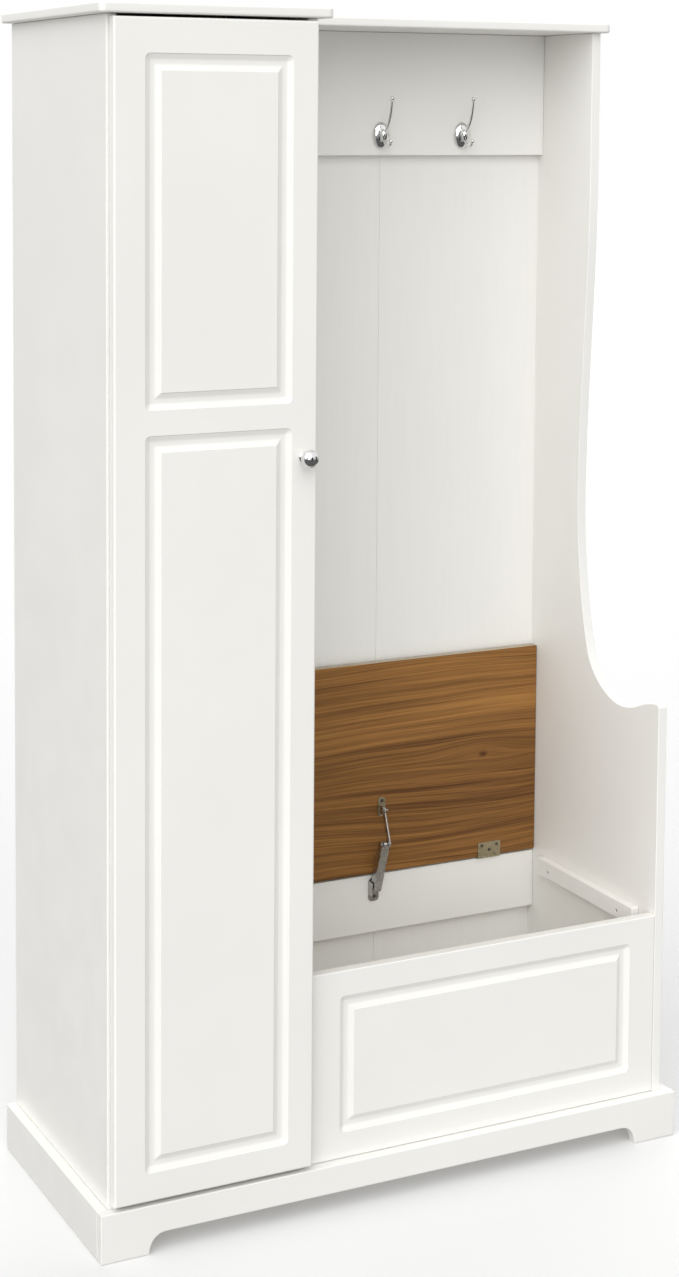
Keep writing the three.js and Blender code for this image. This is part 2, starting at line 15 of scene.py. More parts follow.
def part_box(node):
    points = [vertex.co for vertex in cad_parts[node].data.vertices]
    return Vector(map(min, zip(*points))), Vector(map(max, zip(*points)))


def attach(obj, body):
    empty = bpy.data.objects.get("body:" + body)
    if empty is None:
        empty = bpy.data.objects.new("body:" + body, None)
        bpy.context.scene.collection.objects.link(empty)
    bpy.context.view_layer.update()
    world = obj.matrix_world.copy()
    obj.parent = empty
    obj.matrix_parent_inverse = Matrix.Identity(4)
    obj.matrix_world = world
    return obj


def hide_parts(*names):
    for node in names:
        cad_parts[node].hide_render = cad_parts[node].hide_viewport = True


bl_info = {
    "name": "Hall Tree",
    "version": (1, 0, 0),
    "blender": (4, 5, 0),
    "location": "View3D > Sidebar > Hall Tree",
    "description": "Builds the finished surfaces of a hall tree on its packed frame",
    "category": "Add Mesh",
}

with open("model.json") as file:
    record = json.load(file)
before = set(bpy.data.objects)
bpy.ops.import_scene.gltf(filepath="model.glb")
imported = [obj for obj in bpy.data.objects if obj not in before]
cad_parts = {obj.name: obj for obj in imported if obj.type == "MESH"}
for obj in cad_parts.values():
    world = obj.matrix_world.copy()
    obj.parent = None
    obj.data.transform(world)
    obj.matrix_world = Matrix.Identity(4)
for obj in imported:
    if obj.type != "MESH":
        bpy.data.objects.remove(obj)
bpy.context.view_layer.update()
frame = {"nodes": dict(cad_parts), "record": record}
RECORD = frame["record"]
MM = 0.001

X = np.array([1.0, 0.0, 0.0])
Y = np.array([0.0, 1.0, 0.0])
Z = np.array([0.0, 0.0, 1.0])


# ---- the frame ------------------------------------------------------------------------------
def corners(node):
    """Lowest and highest corner of a CAD node as arrays."""
    low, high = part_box(node)
    return np.array(low), np.array(high)


def middle(node):
    low, high = corners(node)
    return (low + high) / 2


def body_of(node):
    """The body that a CAD node rides on."""
    for body, nodes in RECORD["behaviour"]["bodies"].items():
        if node in nodes:
            return body
    raise ValueError("no body holds " + node)


def slot_of(node):
    """The record's material slot of a CAD node."""
    for part in RECORD["subparts"]:
        if part["node"] == node:
            return part["material_slot"]
    raise ValueError("no slot for " + node)


def pivot_of(joint):
    """A hinge joint's point on its axis."""
    for entry in RECORD["behaviour"]["joints"]:
        if entry["name"] == joint:
            return np.array(entry["pos_m"])
    raise ValueError("no joint " + joint)


# ---- settings -------------------------------------------------------------------------------
class HallTreeSizes(PropertyGroup):
    """Sizes that the finished surfaces are worked out from"""
    edge_radius: FloatProperty(
        name="Edge radius", description="Rounding of the painted boards' edges",
        default=0.0014, unit="LENGTH")
    top_edge_radius: FloatProperty(
        name="Top edge radius", description="Rounding of the two tops' edges",
        default=0.0032, unit="LENGTH")
    top_corner_radius: FloatProperty(
        name="Top corner radius", description="Rounding of the tops' front corners seen from above",
        default=0.010, unit="LENGTH")
    groove_width: FloatProperty(
        name="Groove width", description="Width of the routed frame on the door and the bench front",
        default=0.024, unit="LENGTH")
    groove_depth: FloatProperty(
        name="Groove depth", description="Depth of the routed frame",
        default=0.005, unit="LENGTH")
    groove_corner: FloatProperty(
        name="Groove corner", description="Radius of the routed frame's outer corners",
        default=0.009, unit="LENGTH")
    screw_radius: FloatProperty(
        name="Screw radius", description="Radius of the small countersunk screw heads",
        default=0.0029, unit="LENGTH")


class HallTreeColours(PropertyGroup):
    """Colours of the finishes"""
    paint: FloatVectorProperty(
        name="Paint", description="Satin off-white of the boards",
        default=(0.87, 0.861, 0.826), size=3, subtype="COLOR", min=0, max=1)
    walnut_light: FloatVectorProperty(
        name="Light walnut", description="Lightest streaks of the lid",
        default=(0.40, 0.19, 0.052), size=3, subtype="COLOR", min=0, max=1)
    walnut_dark: FloatVectorProperty(
        name="Dark walnut", description="Darkest streaks of the lid",
        default=(0.085, 0.033, 0.010), size=3, subtype="COLOR", min=0, max=1)
    lid_edging: FloatVectorProperty(
        name="Lid edging", description="Edge band round the lid",
        default=(0.42, 0.36, 0.27), size=3, subtype="COLOR", min=0, max=1)
    chrome: FloatVectorProperty(
        name="Chrome", description="Plating of the knob and the hooks",
        default=(0.80, 0.80, 0.80), size=3, subtype="COLOR", min=0, max=1)
    steel: FloatVectorProperty(
        name="Steel", description="Bright plated steel of the stay and the cup hinges",
        default=(0.47, 0.46, 0.44), size=3, subtype="COLOR", min=0, max=1)
    zinc: FloatVectorProperty(
        name="Zinc", description="Pale yellow plating of the lid hinges",
        default=(0.45, 0.395, 0.265), size=3, subtype="COLOR", min=0, max=1)
    # The screw heads are steel, but this dark tone is partly painted shade: it stands for the shade in the
    # screw holes.
    screws: FloatVectorProperty(
        name="Screws", description="Dull steel of the small screw heads",
        default=(0.13, 0.125, 0.115), size=3, subtype="COLOR", min=0, max=1)
    plastic: FloatVectorProperty(
        name="Plastic", description="Grey plastic of the magnetic catch",
        default=(0.50, 0.50, 0.49), size=3, subtype="COLOR", min=0, max=1)
    floor: FloatVectorProperty(
        name="Floor", description="Pale floor of the studio",
        default=(0.82, 0.82, 0.82), size=3, subtype="COLOR", min=0, max=1)


# ---- material nodes -------------------------------------------------------------------------
class Recipe:
    """A material under construction, with a short call for each kind of node."""

    def __init__(self, name, colour, roughness, metallic=0.0):
        self.material = bpy.data.materials.new(name)
        self.material.use_nodes = True
        self.tree = self.material.node_tree
        self.shader = self.tree.nodes["Principled BSDF"]
        self.shader.inputs["Base Color"].default_value = (*colour, 1.0)
        self.shader.inputs["Roughness"].default_value = roughness
        self.shader.inputs["Metallic"].default_value = metallic
        self.place = self.tree.nodes.new("ShaderNodeTexCoord").outputs["Object"]

    def link(self, source, node, socket):
        self.tree.links.new(source, node.inputs[socket])

    def mapped(self, scale=(1, 1, 1), turn=(0, 0, 0), centre=(0, 0, 0)):
        """Object coordinates less centre, turned and scaled."""
        node = self.tree.nodes.new("ShaderNodeMapping")
        node.inputs["Scale"].default_value = scale
        node.inputs["Rotation"].default_value = turn
        node.inputs["Location"].default_value = [-c * s for c, s in zip(centre, scale)]
        self.link(self.place, node, "Vector")
        return node.outputs["Vector"]

    def noise(self, vector, scale, detail=2.0, roughness=0.5, distortion=0.0):
        node = self.tree.nodes.new("ShaderNodeTexNoise")
        node.inputs["Scale"].default_value = scale
        node.inputs["Detail"].default_value = detail
        node.inputs["Roughness"].default_value = roughness
        node.inputs["Distortion"].default_value = distortion
        self.link(vector, node, "Vector")
        return node.outputs["Fac"]

    def spread(self, value, low, high, out_low, out_high):
        """Carries low..high onto out_low..out_high, smoothly and held at both ends."""
        node = self.tree.nodes.new("ShaderNodeMapRange")
        node.interpolation_type = "SMOOTHSTEP"
        sockets = ("From Min", "From Max", "To Min", "To Max")
        for socket, number in zip(sockets, (low, high, out_low, out_high)):
            node.inputs[socket].default_value = number
        self.link(value, node, "Value")
        return node.outputs["Result"]

    def math(self, operation, first, second):
        node = self.tree.nodes.new("ShaderNodeMath")
        node.operation = operation
        for socket, value in enumerate((first, second)):
            if isinstance(value, (int, float)):
                node.inputs[socket].default_value = value
            else:
                self.link(value, node, socket)
        return node.outputs["Value"]

    def length(self, vector):
        node = self.tree.nodes.new("ShaderNodeVectorMath")
        node.operation = "LENGTH"
        self.link(vector, node, 0)
        return node.outputs["Value"]

    def ramp(self, value, stops):
        """Colours by value; stops are (position, colour)."""
        node = self.tree.nodes.new("ShaderNodeValToRGB")
        elements = node.color_ramp.elements
        while len(elements) < len(stops):
            elements.new(0.5)
        for element, (position, colour) in zip(elements, stops):
            element.position = position
            element.color = (*colour, 1.0)
        self.link(value, node, "Fac")
        return node.outputs["Color"]

    def colour(self, output):
        self.link(output, self.shader, "Base Color")

    def roughness(self, output):
        self.link(output, self.shader, "Roughness")

    def bump(self, height, depth, strength=1.0):
        """Raises the surface by height times depth metres."""
        node = self.tree.nodes.new("ShaderNodeBump")
        node.inputs["Strength"].default_value = strength
        node.inputs["Distance"].default_value = depth
        self.link(height, node, "Height")
        self.link(node.outputs["Normal"], self.shader, "Normal")


def shade(colour, factor):
    """The same hue, lighter or darker."""
    return tuple(min(1.0, channel * factor) for channel in colour)


def paint_finish(colours):
    """Sprayed satin paint: a fine even stipple, a faint cloudiness and a slightly uneven sheen."""
    paint = Recipe("satin_paint", colours.paint, 0.42)
    clouds = paint.noise(paint.place, 3.5, detail=3)
    stops = [(0.35, shade(colours.paint, 0.978)), (0.65, shade(colours.paint, 1.008))]
    paint.colour(paint.ramp(clouds, stops))
    sheen = paint.noise(paint.place, 22, detail=4)
    paint.roughness(paint.spread(sheen, 0.3, 0.7, 0.37, 0.47))
    stipple = paint.noise(paint.place, 620, detail=3, roughness=0.6)
    paint.bump(stipple, 0.00005, 0.5)
    paint.shader.inputs["Specular IOR Level"].default_value = 0.42
    return paint.material


def board_back_finish(colours):
    """White-faced thin board: a little duller than the paint, with a faint vertical grain."""
    sheet = Recipe("faced_sheet", colours.paint, 0.5)
    fibre = sheet.noise(sheet.mapped(scale=(60, 60, 2.5)), 3, detail=3)
    stops = [(0.3, shade(colours.paint, 0.975)), (0.7, shade(colours.paint, 0.992))]
    sheet.colour(sheet.ramp(fibre, stops))
    sheet.roughness(sheet.spread(fibre, 0.3, 0.7, 0.46, 0.56))
    sheet.bump(sheet.noise(sheet.place, 500, detail=2), 0.00004, 0.4)
    return sheet.material


def walnut_finish(colours):
    """Grain lines run along the lid: the height is warped by a slow drift and spread apart round a
    knot, and noise stretched along the lines is read from that warped height at four scales."""
    low, high = corners("lid_board")
    knot_x = low[0] + 0.827 * (high[0] - low[0])
    knot_z = high[2] - 0.50 * (high[2] - low[2])
    wood = Recipe("walnut", colours.walnut_light, 0.48)
    wood.shader.inputs["Specular IOR Level"].default_value = 0.22
    axes = wood.tree.nodes.new("ShaderNodeSeparateXYZ")
    wood.link(wood.place, axes, "Vector")
    across, height = axes.outputs["X"], axes.outputs["Z"]
    off_knot = wood.math("SUBTRACT", height, float(knot_z))
    wide = wood.length(wood.mapped(scale=(11, 0, 42), centre=(knot_x, 0, knot_z)))
    near = wood.spread(wide, 0.0, 1.6, 0.80, 0.0)
    height = wood.math("SUBTRACT", height, wood.math("MULTIPLY", off_knot, near))
    drift = wood.noise(wood.mapped(scale=(1.5, 1, 3.2)), 1.7, detail=1)
    height = wood.math("ADD", height, wood.math("MULTIPLY", drift, 0.055))
    lines = wood.tree.nodes.new("ShaderNodeCombineXYZ")
    wood.link(across, lines, "X")
    wood.link(height, lines, "Z")

    def grain(along, crossing, detail, roughness, distortion=0.0):
        node = wood.tree.nodes.new("ShaderNodeMapping")
        node.inputs["Scale"].default_value = (along, 1, crossing)
        wood.link(lines.outputs["Vector"], node, "Vector")
        return wood.noise(node.outputs["Vector"], 1.0, detail, roughness, distortion)

    band = grain(0.8, 13, 2, 0.5)
    streak = grain(1.0, 96, 3, 0.62, 0.15)
    line = grain(2.8, 400, 4, 0.7)
    pore = grain(34, 1400, 2, 0.6)
    tone = wood.math("MULTIPLY", band, 0.26)
    tone = wood.math("ADD", tone, wood.math("MULTIPLY", streak, 0.34))
    tone = wood.math("ADD", tone, wood.math("MULTIPLY", line, 0.38))
    tone = wood.math("ADD", tone, wood.math("MULTIPLY", pore, 0.02))
    core = wood.length(wood.mapped(scale=(104, 0, 190), centre=(knot_x, 0, knot_z)))
    tone = wood.math("SUBTRACT", tone, wood.spread(core, 0.0, 1.3, 0.12, 0.0))
    light, dark = colours.walnut_light, colours.walnut_dark

    def between(share):
        return tuple(share * a + (1 - share) * b for a, b in zip(light, dark))

    wood.colour(wood.ramp(tone, [
        (0.385, dark), (0.44, between(0.22)), (0.485, between(0.44)),
        (0.525, between(0.63)), (0.565, between(0.84)), (0.61, light)]))
    wood.roughness(wood.spread(line, 0.35, 0.65, 0.56, 0.44))
    wood.bump(pore, 0.00012, 0.5)
    return wood.material


def edging_finish(colours):
    """Edge band of the lid, with a faint streak along it."""
    band = Recipe("lid_edging", colours.lid_edging, 0.5)
    streak = band.noise(band.mapped(scale=(2, 40, 40)), 6, detail=3)
    stops = [(0.3, shade(colours.lid_edging, 0.8)), (0.7, shade(colours.lid_edging, 1.1))]
    band.colour(band.ramp(streak, stops))
    return band.material


def metal_finish(name, colour, roughness, uneven, grain):
    """Plated metal: a faint haze in its gloss and a trace of grain."""
    metal = Recipe(name, colour, roughness, metallic=1.0)
    haze = metal.noise(metal.place, 90, detail=3)
    metal.roughness(metal.spread(haze, 0.3, 0.7, roughness - uneven, roughness + uneven))
    stops = [(0.3, shade(colour, 0.93)), (0.7, shade(colour, 1.05))]
    metal.colour(metal.ramp(metal.noise(metal.place, 160, detail=2), stops))
    metal.bump(metal.noise(metal.place, 1400, detail=2), 0.00002, grain)
    return metal.material


def plastic_finish(colours):
    moulded = Recipe("moulded_plastic", colours.plastic, 0.55)
    moulded.bump(moulded.noise(moulded.place, 900, detail=2), 0.00004, 0.5)
    tint = moulded.noise(moulded.place, 60, detail=2)
    stops = [(0.3, shade(colours.plastic, 0.94)), (0.7, colours.plastic)]
    moulded.colour(moulded.ramp(tint, stops))
    return moulded.material


def finish(slot):
    """The material for a slot of the record, made the first time that it is asked for."""
    colours = bpy.context.scene.hall_tree_colours
    makers = {
        "white_paint": lambda: paint_finish(colours),
        "white_sheet": lambda: board_back_finish(colours),
        "walnut_board": lambda: walnut_finish(colours),
        "lid_edging": lambda: edging_finish(colours),
        "chrome_plate": lambda: metal_finish("chrome", colours.chrome, 0.06, 0.02, 0.08),
        "bright_steel": lambda: metal_finish("steel", colours.steel, 0.27, 0.08, 0.4),
        # dark partly as painted shade of the screw holes
        "dull_screws": lambda: metal_finish("screw_steel_painted_shade", colours.screws, 0.38, 0.06, 0.4),
        "yellow_zinc": lambda: metal_finish("zinc", colours.zinc, 0.34, 0.08, 0.5),
        "grey_plastic": lambda: plastic_finish(colours),
    }
    if slot not in FINISHES:
        FINISHES[slot] = makers[slot]()
    return FINISHES[slot]


FINISHES = {}


# ---- surfaces: each returns (points, faces) of one closed shell -----------------------------
def grid_faces(rows, columns, close_columns=False):
    """Four-cornered faces between neighbours on a rows by columns grid of points."""
    index = np.arange(rows * columns).reshape(rows, columns)
    if close_columns:
        index = np.hstack([index, index[:, :1]])
    stacked = np.stack([index[:-1, :-1], index[:-1, 1:], index[1:, 1:], index[1:, :-1]], axis=-1)
    return stacked.reshape(-1, 4).tolist()


def rounded_box(low, high, radius, steps=3):
    """Every direction on a sphere, carried to the corner of the box that it points to: the point is
    that corner, drawn in by the radius, plus the radius along the direction."""
    low = np.asarray(low, float)
    high = np.asarray(high, float)
    quarter = np.linspace(0, math.pi / 2, steps + 1)
    longitude = np.concatenate([quarter + k * math.pi / 2 for k in range(4)])
    east = np.repeat(np.array([1, -1, -1, 1]), steps + 1)
    north = np.repeat(np.array([1, 1, -1, -1]), steps + 1)
    latitude = np.concatenate([quarter - math.pi / 2, quarter])
    rise = np.repeat(np.array([-1, 1]), steps + 1)
    lat, lon = np.meshgrid(latitude, longitude, indexing="ij")
    direction = np.stack([np.cos(lat) * np.cos(lon), np.cos(lat) * np.sin(lon), np.sin(lat)], axis=-1)
    sign = np.stack(np.broadcast_arrays(east[None, :], north[None, :], rise[:, None]), axis=-1)
    centre = (low + high) / 2
    core = (high - low) / 2 - radius
    points = centre + sign * core + radius * direction
    columns = longitude.size
    pole_low = np.tile([centre[0], centre[1], low[2]], (1, columns, 1))
    pole_high = np.tile([centre[0], centre[1], high[2]], (1, columns, 1))
    points = np.concatenate([pole_low, points, pole_high])
    return points.reshape(-1, 3), grid_faces(points.shape[0], columns, close_columns=True)


def mitres(outline):
    """Outward directions at an anticlockwise outline's points, long enough to move both edges by 1."""
    edge = np.roll(outline, -1, axis=0) - outline
    edge /= np.linalg.norm(edge, axis=1, keepdims=True)
    normal = np.stack([edge[:, 1], -edge[:, 0]], axis=1)
    before = np.roll(normal, 1, axis=0)
    share = 1 + np.sum(normal * before, axis=1, keepdims=True)
    return (normal + before) / share


def lie(outline, height, across):
    """Puts outline points and their heights into space; across is the axis that height runs along."""
    a, b = outline[..., 0], outline[..., 1]
    height = np.broadcast_to(height, a.shape)
    order = {"x": (height, a, b), "y": (a, height, b), "z": (a, b, height)}[across]
    return np.stack(order, axis=-1)


def board(outline, low, high, radius, across, steps=4):
    """An outline given thickness from low to high: rings drawn in by r(1 - sin) and raised by
    r(1 - cos) round both edges, closed by the two broad faces."""
    outline = np.asarray(outline, float)
    turn = np.linspace(0, math.pi / 2, steps + 1)
    support = min(0.0006, radius)
    inset = np.concatenate([
        [radius + support], radius * (1 - np.sin(turn)),
        radius * (1 - np.cos(turn)), [radius + support]])
    height = np.concatenate([
        [low], low + radius * (1 - np.cos(turn)), high - radius * (1 - np.sin(turn)), [high]])
    rings = outline[None] - mitres(outline)[None] * inset[:, None, None]
    points = lie(rings, height[:, None], across)
    rows, columns = rings.shape[:2]
    faces = grid_faces(rows, columns, close_columns=True)
    faces.append(list(range(columns))[::-1])
    faces.append(list(range((rows - 1) * columns, rows * columns)))
    return points.reshape(-1, 3), faces


def turned(profile, origin, axis, sides=48, stretch=(1.0, 1.0)):
    """A profile of (radius, distance along) turned about the axis; stretch widens it across."""
    profile = np.asarray(profile, float)
    axis = np.asarray(axis, float)
    first = X if abs(axis[0]) < 0.5 else Y
    second = np.cross(axis, first)
    angle = np.linspace(0, 2 * math.pi, sides, endpoint=False)
    ring = (np.cos(angle)[:, None] * first * stretch[0]
            + np.sin(angle)[:, None] * second * stretch[1])
    points = (np.asarray(origin, float) + profile[:, 1, None, None] * axis
              + profile[:, 0, None, None] * ring[None])
    return points.reshape(-1, 3), grid_faces(len(profile), sides, close_columns=True)


def ball(centre, radius, sides=24):
    """A sphere as a half circle turned about the upright axis."""
    turn = np.linspace(-math.pi / 2, math.pi / 2, sides // 2 + 1)
    profile = np.stack([np.abs(np.cos(turn)) * radius, np.sin(turn) * radius], axis=1)
    profile[[0, -1], 0] = 0
    return turned(profile, centre, Z, sides)


def rod(path, radius, side, sides=16, closing=4):
    """A circle carried along a path: at each point it lies across the path's direction, with radius
    given for each point, and both ends close in a quarter circle. side is never along the path."""
    path = np.asarray(path, float)
    radius = np.broadcast_to(np.asarray(radius, float), len(path)).copy()
    direction = np.gradient(path, axis=0)
    direction /= np.linalg.norm(direction, axis=1, keepdims=True)
    turn = np.linspace(math.pi / 2, 0, closing + 1)[:-1]
    start = path[0] - np.outer(np.sin(turn) * radius[0], direction[0])
    end = path[-1] + np.outer(np.sin(turn[::-1]) * radius[-1], direction[-1])
    path = np.concatenate([start, path, end])
    radius = np.concatenate([np.cos(turn) * radius[0], radius, np.cos(turn[::-1]) * radius[-1]])
    direction = np.concatenate([
        np.repeat(direction[:1], closing, axis=0), direction,
        np.repeat(direction[-1:], closing, axis=0)])
    across = side - np.sum(direction * side, axis=1, keepdims=True) * direction
    across /= np.linalg.norm(across, axis=1, keepdims=True)
    other = np.cross(direction, across)
    angle = np.linspace(0, 2 * math.pi, sides, endpoint=False)
    ring = (np.cos(angle)[None, :, None] * across[:, None]
            + np.sin(angle)[None, :, None] * other[:, None])
    points = path[:, None] + radius[:, None, None] * ring
    return points.reshape(-1, 3), grid_faces(len(path), sides, close_columns=True)


def washer(centre, axis, inner, outer, thickness, sides=40):
    """A flat ring: its cut section, a rounded oblong, turned about the axis."""
    half = thickness / 2
    ease = min(half, outer - inner) * 0.3
    section = [
        (inner, -half + ease), (inner + ease, -half), (outer - ease, -half), (outer, -half + ease),
        (outer, half - ease), (outer - ease, half), (inner + ease, half), (inner, half - ease),
        (inner, -half + ease)]
    return turned(section, centre, axis, sides)


def screw(centre, axis, radius, height):
    """A domed head on a polar grid: height (1 - (r/R)^2 / 2), sunk where the angle and radius fall
    inside a cross, then down its side and closed underneath."""
    axis = np.asarray(axis, float)
    first = X if abs(axis[0]) < 0.5 else Y
    second = np.cross(axis, first)
    reach = np.array([0, 0.1, 0.17, 0.24, 0.34, 0.44, 0.54, 0.6, 0.68, 0.8, 0.9, 0.97, 1.0])
    angle = np.linspace(0, 2 * math.pi, 48, endpoint=False)
    r, a = np.meshgrid(reach, angle, indexing="ij")
    rise = height * (1 - 0.55 * r ** 2)
    along = np.abs(np.cos(a)) * r
    across = np.abs(np.sin(a)) * r
    in_cross = (np.minimum(along, across) < 0.13) & (np.maximum(along, across) < 0.6)
    rise = np.where(in_cross, rise - 0.45 * height, rise)
    top = (centre + radius * (r * np.cos(a))[..., None] * first
           + radius * (r * np.sin(a))[..., None] * second + rise[..., None] * axis)
    base = top[-1:] - (0.45 * height) * axis
    foot = np.tile(np.asarray(centre, float), (1, angle.size, 1))
    points = np.concatenate([top, base, foot])
    return points.reshape(-1, 3), grid_faces(points.shape[0], angle.size, close_columns=True)


def curve(points, count=24):
    """Points along a Bezier curve through its control points' weights, its last point left out."""
    points = np.asarray(points, float)
    t = np.linspace(0, 1, count, endpoint=False)[:, None]
    if len(points) == 3:
        weights = [(1 - t) ** 2, 2 * t * (1 - t), t ** 2]
    else:
        weights = [(1 - t) ** 3, 3 * t * (1 - t) ** 2, 3 * t ** 2 * (1 - t), t ** 3]
    return sum(w * p for w, p in zip(weights, points))


def arc(centre, radius, start, end, count=9):
    """Points round a circle from start to end, in degrees."""
    angle = np.radians(np.linspace(start, end, count))
    return np.asarray(centre) + radius * np.stack([np.cos(angle), np.sin(angle)], axis=1)


def oblong(low, high, radius, count=7):
    """A rectangle with all four corners rounded, anticlockwise."""
    (x0, y0), (x1, y1) = low, high
    return np.concatenate([
        arc((x1 - radius, y0 + radius), radius, -90, 0, count),
        arc((x1 - radius, y1 - radius), radius, 0, 90, count),
        arc((x0 + radius, y1 - radius), radius, 90, 180, count),
        arc((x0 + radius, y0 + radius), radius, 180, 270, count)])


def link_outline(start, end, radius):
    """A bar with a half circle at each end."""
    slope = math.degrees(math.atan2(end[1] - start[1], end[0] - start[0]))
    return np.concatenate([
        arc(start, radius, slope + 90, slope + 270, 13), arc(end, radius, slope - 90, slope + 90, 13)])


# ---- pieces ---------------------------------------------------------------------------------
def joined(shells):
    """Several shells as one list of points and one of faces."""
    points = []
    faces = []
    offset = 0
    for shell_points, shell_faces in shells:
        points.append(shell_points)
        faces.extend([[corner + offset for corner in face] for face in shell_faces])
        offset += len(shell_points)
    return np.concatenate(points), faces


def welded(name, shells):
    """A mesh of the shells with shared points, its faces turned outwards."""
    points, faces = joined(shells)
    mesh = bpy.data.meshes.new(name)
    mesh.from_pydata(points.tolist(), [], faces)
    work = bmesh.new()
    work.from_mesh(mesh)
    bmesh.ops.remove_doubles(work, verts=work.verts, dist=1e-6)
    bmesh.ops.dissolve_degenerate(work, edges=work.edges, dist=1e-7)
    bmesh.ops.recalc_face_normals(work, faces=work.faces)
    work.to_mesh(mesh)
    work.free()
    return mesh


def add_piece(name, shells, slot, body, stands_for=(), crease=38.0):
    """Welds the shells, shades them smoothly up to the crease angle, and
    lets the piece ride on its body in place of the CAD nodes that it stands for."""
    mesh = welded(name, shells)
    mesh.polygons.foreach_set("use_smooth", np.ones(len(mesh.polygons), bool))
    mesh.set_sharp_from_angle(angle=math.radians(crease))
    mesh.materials.append(finish(slot))
    piece = bpy.data.objects.new(name, mesh)
    bpy.context.scene.collection.objects.link(piece)
    even = piece.modifiers.new("Even shading", "WEIGHTED_NORMAL")
    even.keep_sharp = True
    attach(piece, body)
    if stands_for:
        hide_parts(*stands_for)
    return piece


def add_screws(name, mouths, outward, bore_radius, body, sunk=0.75 * MM):
    """Screw heads in their bores, smaller by a narrow gap; each stands on a floor sunk below the mouth."""
    heads = [screw(mouth - sunk * outward, outward, 0.84 * bore_radius, 0.9 * MM) for mouth in mouths]
    # Their dark finish is partly painted shade, standing for the shade in the screw holes.
    screws = add_piece(name, heads, "dull_screws", body)


def make_plain_boards(sizes):
    """The straight boards of the case: a rounded box as large as each one's CAD node."""
    straight = (
        "left_side_panel", "partition_panel", "plinth_left_rail", "plinth_right_rail",
        "hook_rail", "bench_rear_rail", "cupboard_floor", "bench_floor",
        "shelf_1", "shelf_2", "shelf_3", "shelf_4")
    for node in straight:
        shell = rounded_box(*corners(node), sizes.edge_radius)
        add_piece("painted_" + node, [shell], "white_paint", body_of(node), [node])


def make_back_sheets():
    """Thin sheets in the grooves behind the cupboard and the bay, with eased edges."""
    for node in ("cupboard_back_sheet", "hall_back_sheet_left", "hall_back_sheet_right"):
        shell = rounded_box(*corners(node), 0.9 * MM, steps=3)
        piece = add_piece("faced_" + node, [shell], "white_sheet", body_of(node), [node])


def make_tops(sizes):
    """The two tops: an outline with rounded front corners, given thickness with rounded edges."""
    radius = sizes.top_corner_radius
    for node, both_corners in (("cupboard_top", True), ("hall_top", False)):
        low, high = corners(node)
        outline = [arc((high[0] - radius, low[1] + radius), radius, -90, 0)]
        outline.append([(high[0], high[1]), (low[0], high[1])])
        if both_corners:
            outline.append(arc((low[0] + radius, low[1] + radius), radius, 180, 270))
        else:
            outline.append([(low[0], low[1])])
        shell = board(np.concatenate(outline), low[2], high[2], sizes.top_edge_radius, "z")
        add_piece("rounded_" + node, [shell], "white_paint", body_of(node), [node])


def make_plinth_front(sizes):
    """The front rail: bracket feet with a quadratic curve up to the arch between them."""
    node = "plinth_front_rail"
    low, high = corners(node)
    foot, rise, run, lead = 75 * MM, 30 * MM, 29 * MM, 3 * MM
    left, right, floor, top = low[0], high[0], low[2], high[2]
    crown = floor + rise
    outline = np.concatenate([
        [(left, floor)],
        curve([(left + foot, floor), (left + foot + lead, crown), (left + foot + run, crown)], 14),
        curve([(right - foot - run, crown), (right - foot - lead, crown), (right - foot, floor)], 14),
        [(right - foot, floor), (right, floor), (right, top), (left, top)]])
    shell = board(outline, low[1], high[1], sizes.edge_radius, "y")
    add_piece("shaped_plinth_front", [shell], "white_paint", body_of(node), [node])


def make_right_side(sizes):
    """The right side: full depth beside the bench, then a long double curve back to a narrow upright.
    Its outline is four Bezier curves measured from its own front bottom corner."""
    node = "right_side_panel"
    low, high = corners(node)
    front, back, top = low[1], high[1], high[2]

    def at(behind, up):
        return (front + behind * MM, up * MM)

    corner = 8.0
    rest, dip = 709.0, 684.0
    upright, waist = 218.7, 240.7
    outline = np.concatenate([
        [(front, low[2]), (back, low[2]), (back, top), (front + upright * MM, top)],
        curve([at(upright, 1530), at(upright, 1370), at(waist, 1200), at(waist, 1010)], 30),
        curve([at(waist, 1010), at(waist, 905), at(221.7, 807), at(204.7, 755)], 24),
        curve([at(204.7, 755), at(190.7, 712), at(141.7, dip), at(105.7, dip)], 24),
        curve([at(105.7, dip), at(63.7, dip), at(45.7, rest - 2), at(corner, rest)], 20),
        curve([at(corner, rest), at(0, rest), at(0, rest - corner)], 8)])
    shell = board(outline, low[0], high[0], sizes.edge_radius, "x")
    add_piece("shaped_right_side", [shell], "white_paint", body_of(node), [node])


# ---- routed boards --------------------------------------------------------------------------
def groove_profile(inward, sizes):
    """Depth by distance inward from the outer lip: a small square step, a smooth fall over the wall,
    a level floor, and the same again backwards at the inner lip."""
    wall = 0.4 * sizes.groove_width
    step = 0.28 * sizes.groove_depth
    lip = 0.25 * MM
    from_lip = np.minimum(inward, sizes.groove_width - inward)
    share = np.clip(from_lip / wall, 0, 1)
    fall = share ** 2 * (3 - 2 * share)
    depth = step * np.clip(from_lip / lip, 0, 1) + (sizes.groove_depth - step) * fall
    return np.where(from_lip > 0, depth, 0.0)


def groove_depth(x, z, panel, sizes):
    """Depth at a place on the face: the profile at its distance inside a rounded rectangle."""
    (x0, z0), (x1, z1) = panel
    radius = sizes.groove_corner
    dx = np.abs(x - (x0 + x1) / 2) - ((x1 - x0) / 2 - radius)
    dz = np.abs(z - (z0 + z1) / 2) - ((z1 - z0) / 2 - radius)
    outside = np.hypot(np.maximum(dx, 0), np.maximum(dz, 0)) + np.minimum(np.maximum(dx, dz), 0)
    return groove_profile(radius - outside, sizes)


